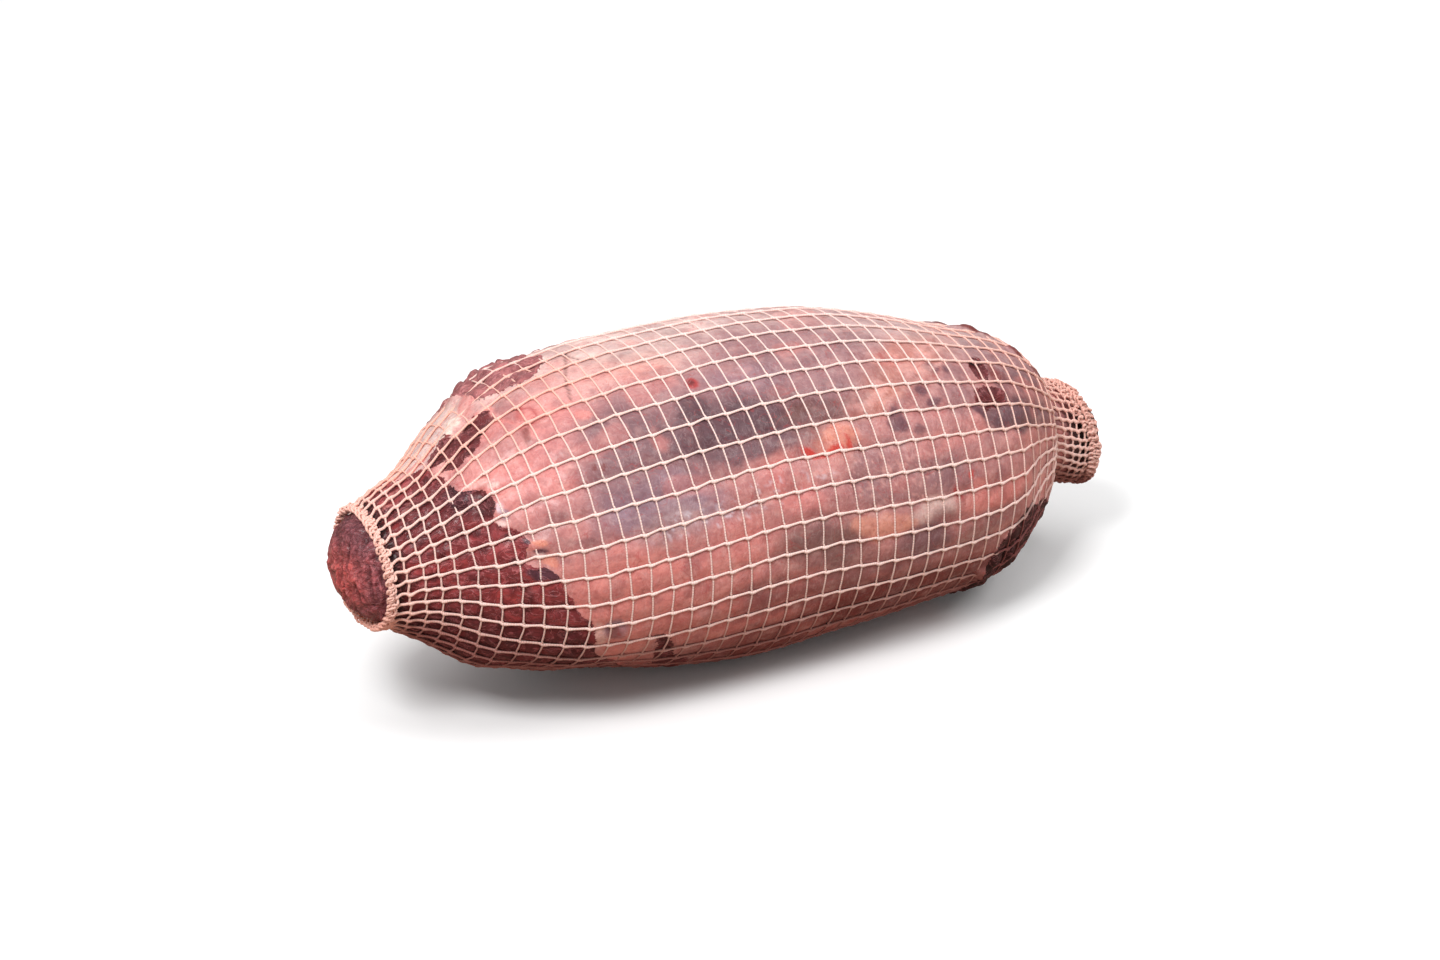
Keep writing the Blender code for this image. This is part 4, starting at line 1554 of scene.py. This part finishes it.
# %% [markdown]
# ## The meat's material
# Raw meat is moist but not mirror-like. Its two painted colours are the base, and the distance to the
# membrane's edge, made ragged by the film's speckle, picks one of them. Fibres streak the bare muscle,
# and the film mottles the membrane and carries thin vessels and fat lines. The film also shifts the
# roughness, and meat that hangs low is rougher. A little light goes in under the surface, and a thin
# coat gives the wet glints.

# %% Helpers for materials


def attribute(tree, name):
    """A named attribute of the mesh."""
    node = tree.nodes.new("ShaderNodeAttribute")
    node.attribute_name = name
    return node


def place_group(tree, group, **values):
    """A shared group, with its own numbers."""
    node = tree.nodes.new("ShaderNodeGroup")
    node.node_tree = group
    for title, value in values.items():
        join(tree, value, node.inputs[title])
    return node


def new_material(name):
    """A material with an empty Principled shader."""
    material = bpy.data.materials.new(name)
    material.use_nodes = True
    return material, material.node_tree, material.node_tree.nodes["Principled BSDF"]


def add_bump(tree, shader, height, strength, distance):
    """Fine relief from a height."""
    bump = tree.nodes.new("ShaderNodeBump")
    bump.inputs["Strength"].default_value = strength
    bump.inputs["Distance"].default_value = distance
    tree.links.new(height, bump.inputs["Height"])
    tree.links.new(bump.outputs["Normal"], shader.inputs["Normal"])


print("material helpers ready")

# %% Meat material
SUBSURFACE_REACH = 2.2 * MM


def meat_material(name, fibre_scale, film_scale, fibre_share, relief):
    """Moist raw meat: two group scales, how streaky its fibres are and how deep its bumps."""
    material, tree, shader = new_material(name)
    fibres = place_group(tree, fibre_group, Scale=fibre_scale)
    film = place_group(tree, film_group, Scale=film_scale)
    # the membrane's edge is cut crisp and ragged from the distance that the mesh carries
    ragged = maths(tree, "MULTIPLY_ADD", film.outputs["Speckle"], 0.6, -0.3)
    reach = maths(tree, "ADD", attribute(tree, "bare").outputs["Fac"], ragged)
    bare_mask = remap(tree, reach, -0.14, 0.14)
    covered = maths(tree, "SUBTRACT", 1.0, bare_mask)
    membrane_tint = attribute(tree, "membrane").outputs["Color"]
    muscle_tint = attribute(tree, "muscle").outputs["Color"]
    flesh_tint = blend(tree, "MIX", bare_mask, membrane_tint, muscle_tint)

    def on_muscle(title, share):
        """One output of the fibres, where the muscle is bare."""
        return maths(tree, "MULTIPLY", fibres.outputs[title], maths(tree, "MULTIPLY", bare_mask, share))

    def on_membrane(title, share):
        """One output of the film, where the membrane covers the muscle."""
        return maths(tree, "MULTIPLY", film.outputs[title], maths(tree, "MULTIPLY", covered, share))

    dark = blend(tree, "MULTIPLY", 1.0, flesh_tint, (0.50, 0.40, 0.44))
    bright = blend(tree, "SCREEN", 1.0, flesh_tint, (0.20, 0.07, 0.075))
    dusky = blend(tree, "MULTIPLY", 1.0, flesh_tint, (0.72, 0.62, 0.66))
    milky = blend(tree, "SCREEN", 1.0, flesh_tint, (0.20, 0.15, 0.15))
    layers = (
        (on_muscle("Fibres", fibre_share), dark),
        (on_muscle("Strands", 0.8), bright),
        (on_membrane("Mottle", 0.42), dusky),
        (on_membrane("Speckle", 0.45), dusky),
        (on_membrane("Fat Lines", 0.35), milky),
        (on_membrane("Vessels", 0.35), tuple(PAINTS["blood"])),
    )
    colour = flesh_tint
    for cover, tint in layers:
        colour = blend(tree, "MIX", cover, colour, tint)
    tree.links.new(colour, shader.inputs["Base Color"])

    dry = maths(tree, "MULTIPLY_ADD", film.outputs["Gloss"], 0.22, 0.34)
    wet = maths(tree, "MULTIPLY", bare_mask, -0.04)
    matt = maths(tree, "MULTIPLY_ADD", attribute(tree, "dull").outputs["Fac"], 0.35, wet)
    tree.links.new(maths(tree, "ADD", dry, matt), shader.inputs["Roughness"])
    grain = maths(tree, "MULTIPLY", fibres.outputs["Height"], bare_mask)
    add_bump(tree, shader, maths(tree, "ADD", grain, on_membrane("Wrinkle", 0.45)), 1.0, relief)

    shader.inputs["Subsurface Weight"].default_value = 0.10
    shader.inputs["Subsurface Radius"].default_value = (1.0, 0.36, 0.24)
    shader.inputs["Subsurface Scale"].default_value = SUBSURFACE_REACH
    shader.inputs["IOR"].default_value = 1.42
    shader.inputs["Coat Weight"].default_value = 0.1
    shader.inputs["Specular IOR Level"].default_value = 0.4
    shader.inputs["Coat Roughness"].default_value = 0.16
    return material


roast_finish = meat_material("raw meat", 340.0, 170.0, 0.85, 1.1 * MM)
ground_finish = meat_material("ground meat", 480.0, 240.0, 1.0, 1.5 * MM)
for half in (ground_half, collar_half):
    half.data.materials.append(roast_finish)
for dome in (ground_end, collar_end):
    dome.data.materials.append(ground_finish)
print("meat materials:", roast_finish.name, "and", ground_finish.name)

# %% [markdown]
# ## The net's material
# The threads are rubber wound with fine yarn, soaked with meat juice towards the mouths. So the colour
# runs from a pinkish white to salmon, the winding shows as slanting stripes, and the surface is dull
# with a soft sheen.

# %% Net material
CLEAN_THREAD = tuple(paint(241, 216, 209))
SALMON_THREAD = tuple(paint(244, 182, 164))
STAINED_SHADED_THREAD = tuple(paint(122, 44, 45))
YARN_TURNS = 6.3


def net_material():
    """Damp elastic thread wound with yarn."""
    material, tree, shader = new_material("elastic thread")
    salmon = attribute(tree, "salmon").outputs["Fac"]
    run = attribute(tree, "run").outputs["Fac"]
    wrap = place_group(tree, wrap_group, Run=run, Turns=YARN_TURNS)
    colour = blend(tree, "MIX", salmon, CLEAN_THREAD, SALMON_THREAD)
    # the stain darkens the threads towards soaked red: blood stains, and painted shade low down
    stain = attribute(tree, "stain").outputs["Fac"]
    colour = blend(tree, "MIX", stain, colour, STAINED_SHADED_THREAD)
    shade = blend(tree, "MULTIPLY", 1.0, colour, (0.80, 0.68, 0.66))
    stripe = maths(tree, "MULTIPLY", wrap.outputs["Stripe"], 0.35)
    colour = blend(tree, "MIX", stripe, colour, shade)
    worn = maths(tree, "MULTIPLY", remap(tree, wrap.outputs["Fuzz"], 0.5, 0.7), 0.3)
    colour = blend(tree, "MIX", worn, colour, shade)
    tree.links.new(colour, shader.inputs["Base Color"])
    tree.links.new(maths(tree, "MULTIPLY_ADD", wrap.outputs["Fuzz"], 0.2, 0.5), shader.inputs["Roughness"])
    height = maths(tree, "ADD", wrap.outputs["Stripe"], maths(tree, "MULTIPLY", wrap.outputs["Fuzz"], 0.6))
    add_bump(tree, shader, height, 0.7, 0.12 * MM)
    shader.inputs["Subsurface Weight"].default_value = 0.1
    shader.inputs["Subsurface Radius"].default_value = (1.0, 0.5, 0.4)
    shader.inputs["Subsurface Scale"].default_value = 0.6 * MM
    shader.inputs["Sheen Weight"].default_value = 0.15
    return material


thread_finish = net_material()
for piece in (cords, threads, ground_band, collar_band):
    piece.data.materials.append(thread_finish)
print("net material:", thread_finish.name)

# %% [markdown]
# ## Floor and light
# The roast lies on a plain pale floor. The light is that of a white studio: bright all round, with a
# soft lamp high on the left, a very wide one overhead and a weak one on the right. Wide lamps give
# soft wet glints, where a small one would give hard white dots.

# %% Floor
FLOOR_HALF = 15.0
FLOOR_TONE = (0.95, 0.95, 0.95)
# what it throws back at the roast is no more than a wooden board would
FLOOR_BOUNCE = (0.36, 0.23, 0.17)


def add_floor():
    """A plain pale floor, just under what rests on it."""
    mesh = bpy.data.meshes.new("floor")
    corners = [(-FLOOR_HALF, -FLOOR_HALF, 0.0), (FLOOR_HALF, -FLOOR_HALF, 0.0)]
    corners += [(FLOOR_HALF, FLOOR_HALF, 0.0), (-FLOOR_HALF, FLOOR_HALF, 0.0)]
    mesh.from_pydata(corners, [], [(0, 1, 2, 3)])
    floor = bpy.data.objects.new("floor", mesh)
    bpy.context.scene.collection.objects.link(floor)
    material, tree, shader = new_material("pale floor")
    rays = tree.nodes.new("ShaderNodeLightPath")
    seen = rays.outputs["Is Camera Ray"]
    tree.links.new(blend(tree, "MIX", seen, FLOOR_BOUNCE, FLOOR_TONE), shader.inputs["Base Color"])
    shader.inputs["Roughness"].default_value = 0.85
    mesh.materials.append(material)
    return floor


floor = add_floor()
print("stage:", floor.name)

# %% World and lamps
SKY_STRENGTH = 0.47
LAMP_AIM = np.array([0.0, 0.0, 0.06])
# name, place, size in metres and power in watts
LAMPS = (
    ("key", (-0.9, -0.6, 1.4), 0.55, 21.0),
    ("overhead", (0.0, 0.2, 2.0), 2.2, 16.0),
    ("right", (0.8, -0.8, 1.3), 0.6, 8.0),
)


def add_world(strength):
    """Even white light from all round."""
    world = bpy.data.worlds.new("studio")
    world.use_nodes = True
    sky = world.node_tree.nodes["Background"]
    sky.inputs["Color"].default_value = (1.0, 1.0, 1.0, 1.0)
    sky.inputs["Strength"].default_value = strength
    bpy.context.scene.world = world


def add_lamp(name, place, size, power):
    """A wide square lamp that faces the roast."""
    light = bpy.data.lights.new(name, "AREA")
    light.size = size
    light.energy = power
    lamp = bpy.data.objects.new(name, light)
    lamp.location = place
    way = LAMP_AIM - np.array(place)
    yaw = math.atan2(way[0], -way[1])
    lean = math.atan2(math.hypot(way[0], way[1]), -way[2])
    lamp.rotation_euler = (lean, 0.0, yaw + math.pi)
    bpy.context.scene.collection.objects.link(lamp)


add_world(SKY_STRENGTH)
for lamp in LAMPS:
    add_lamp(*lamp)
bpy.context.scene.view_settings.view_transform = "Standard"
print("lamps:", [name for name, place, size, power in LAMPS])
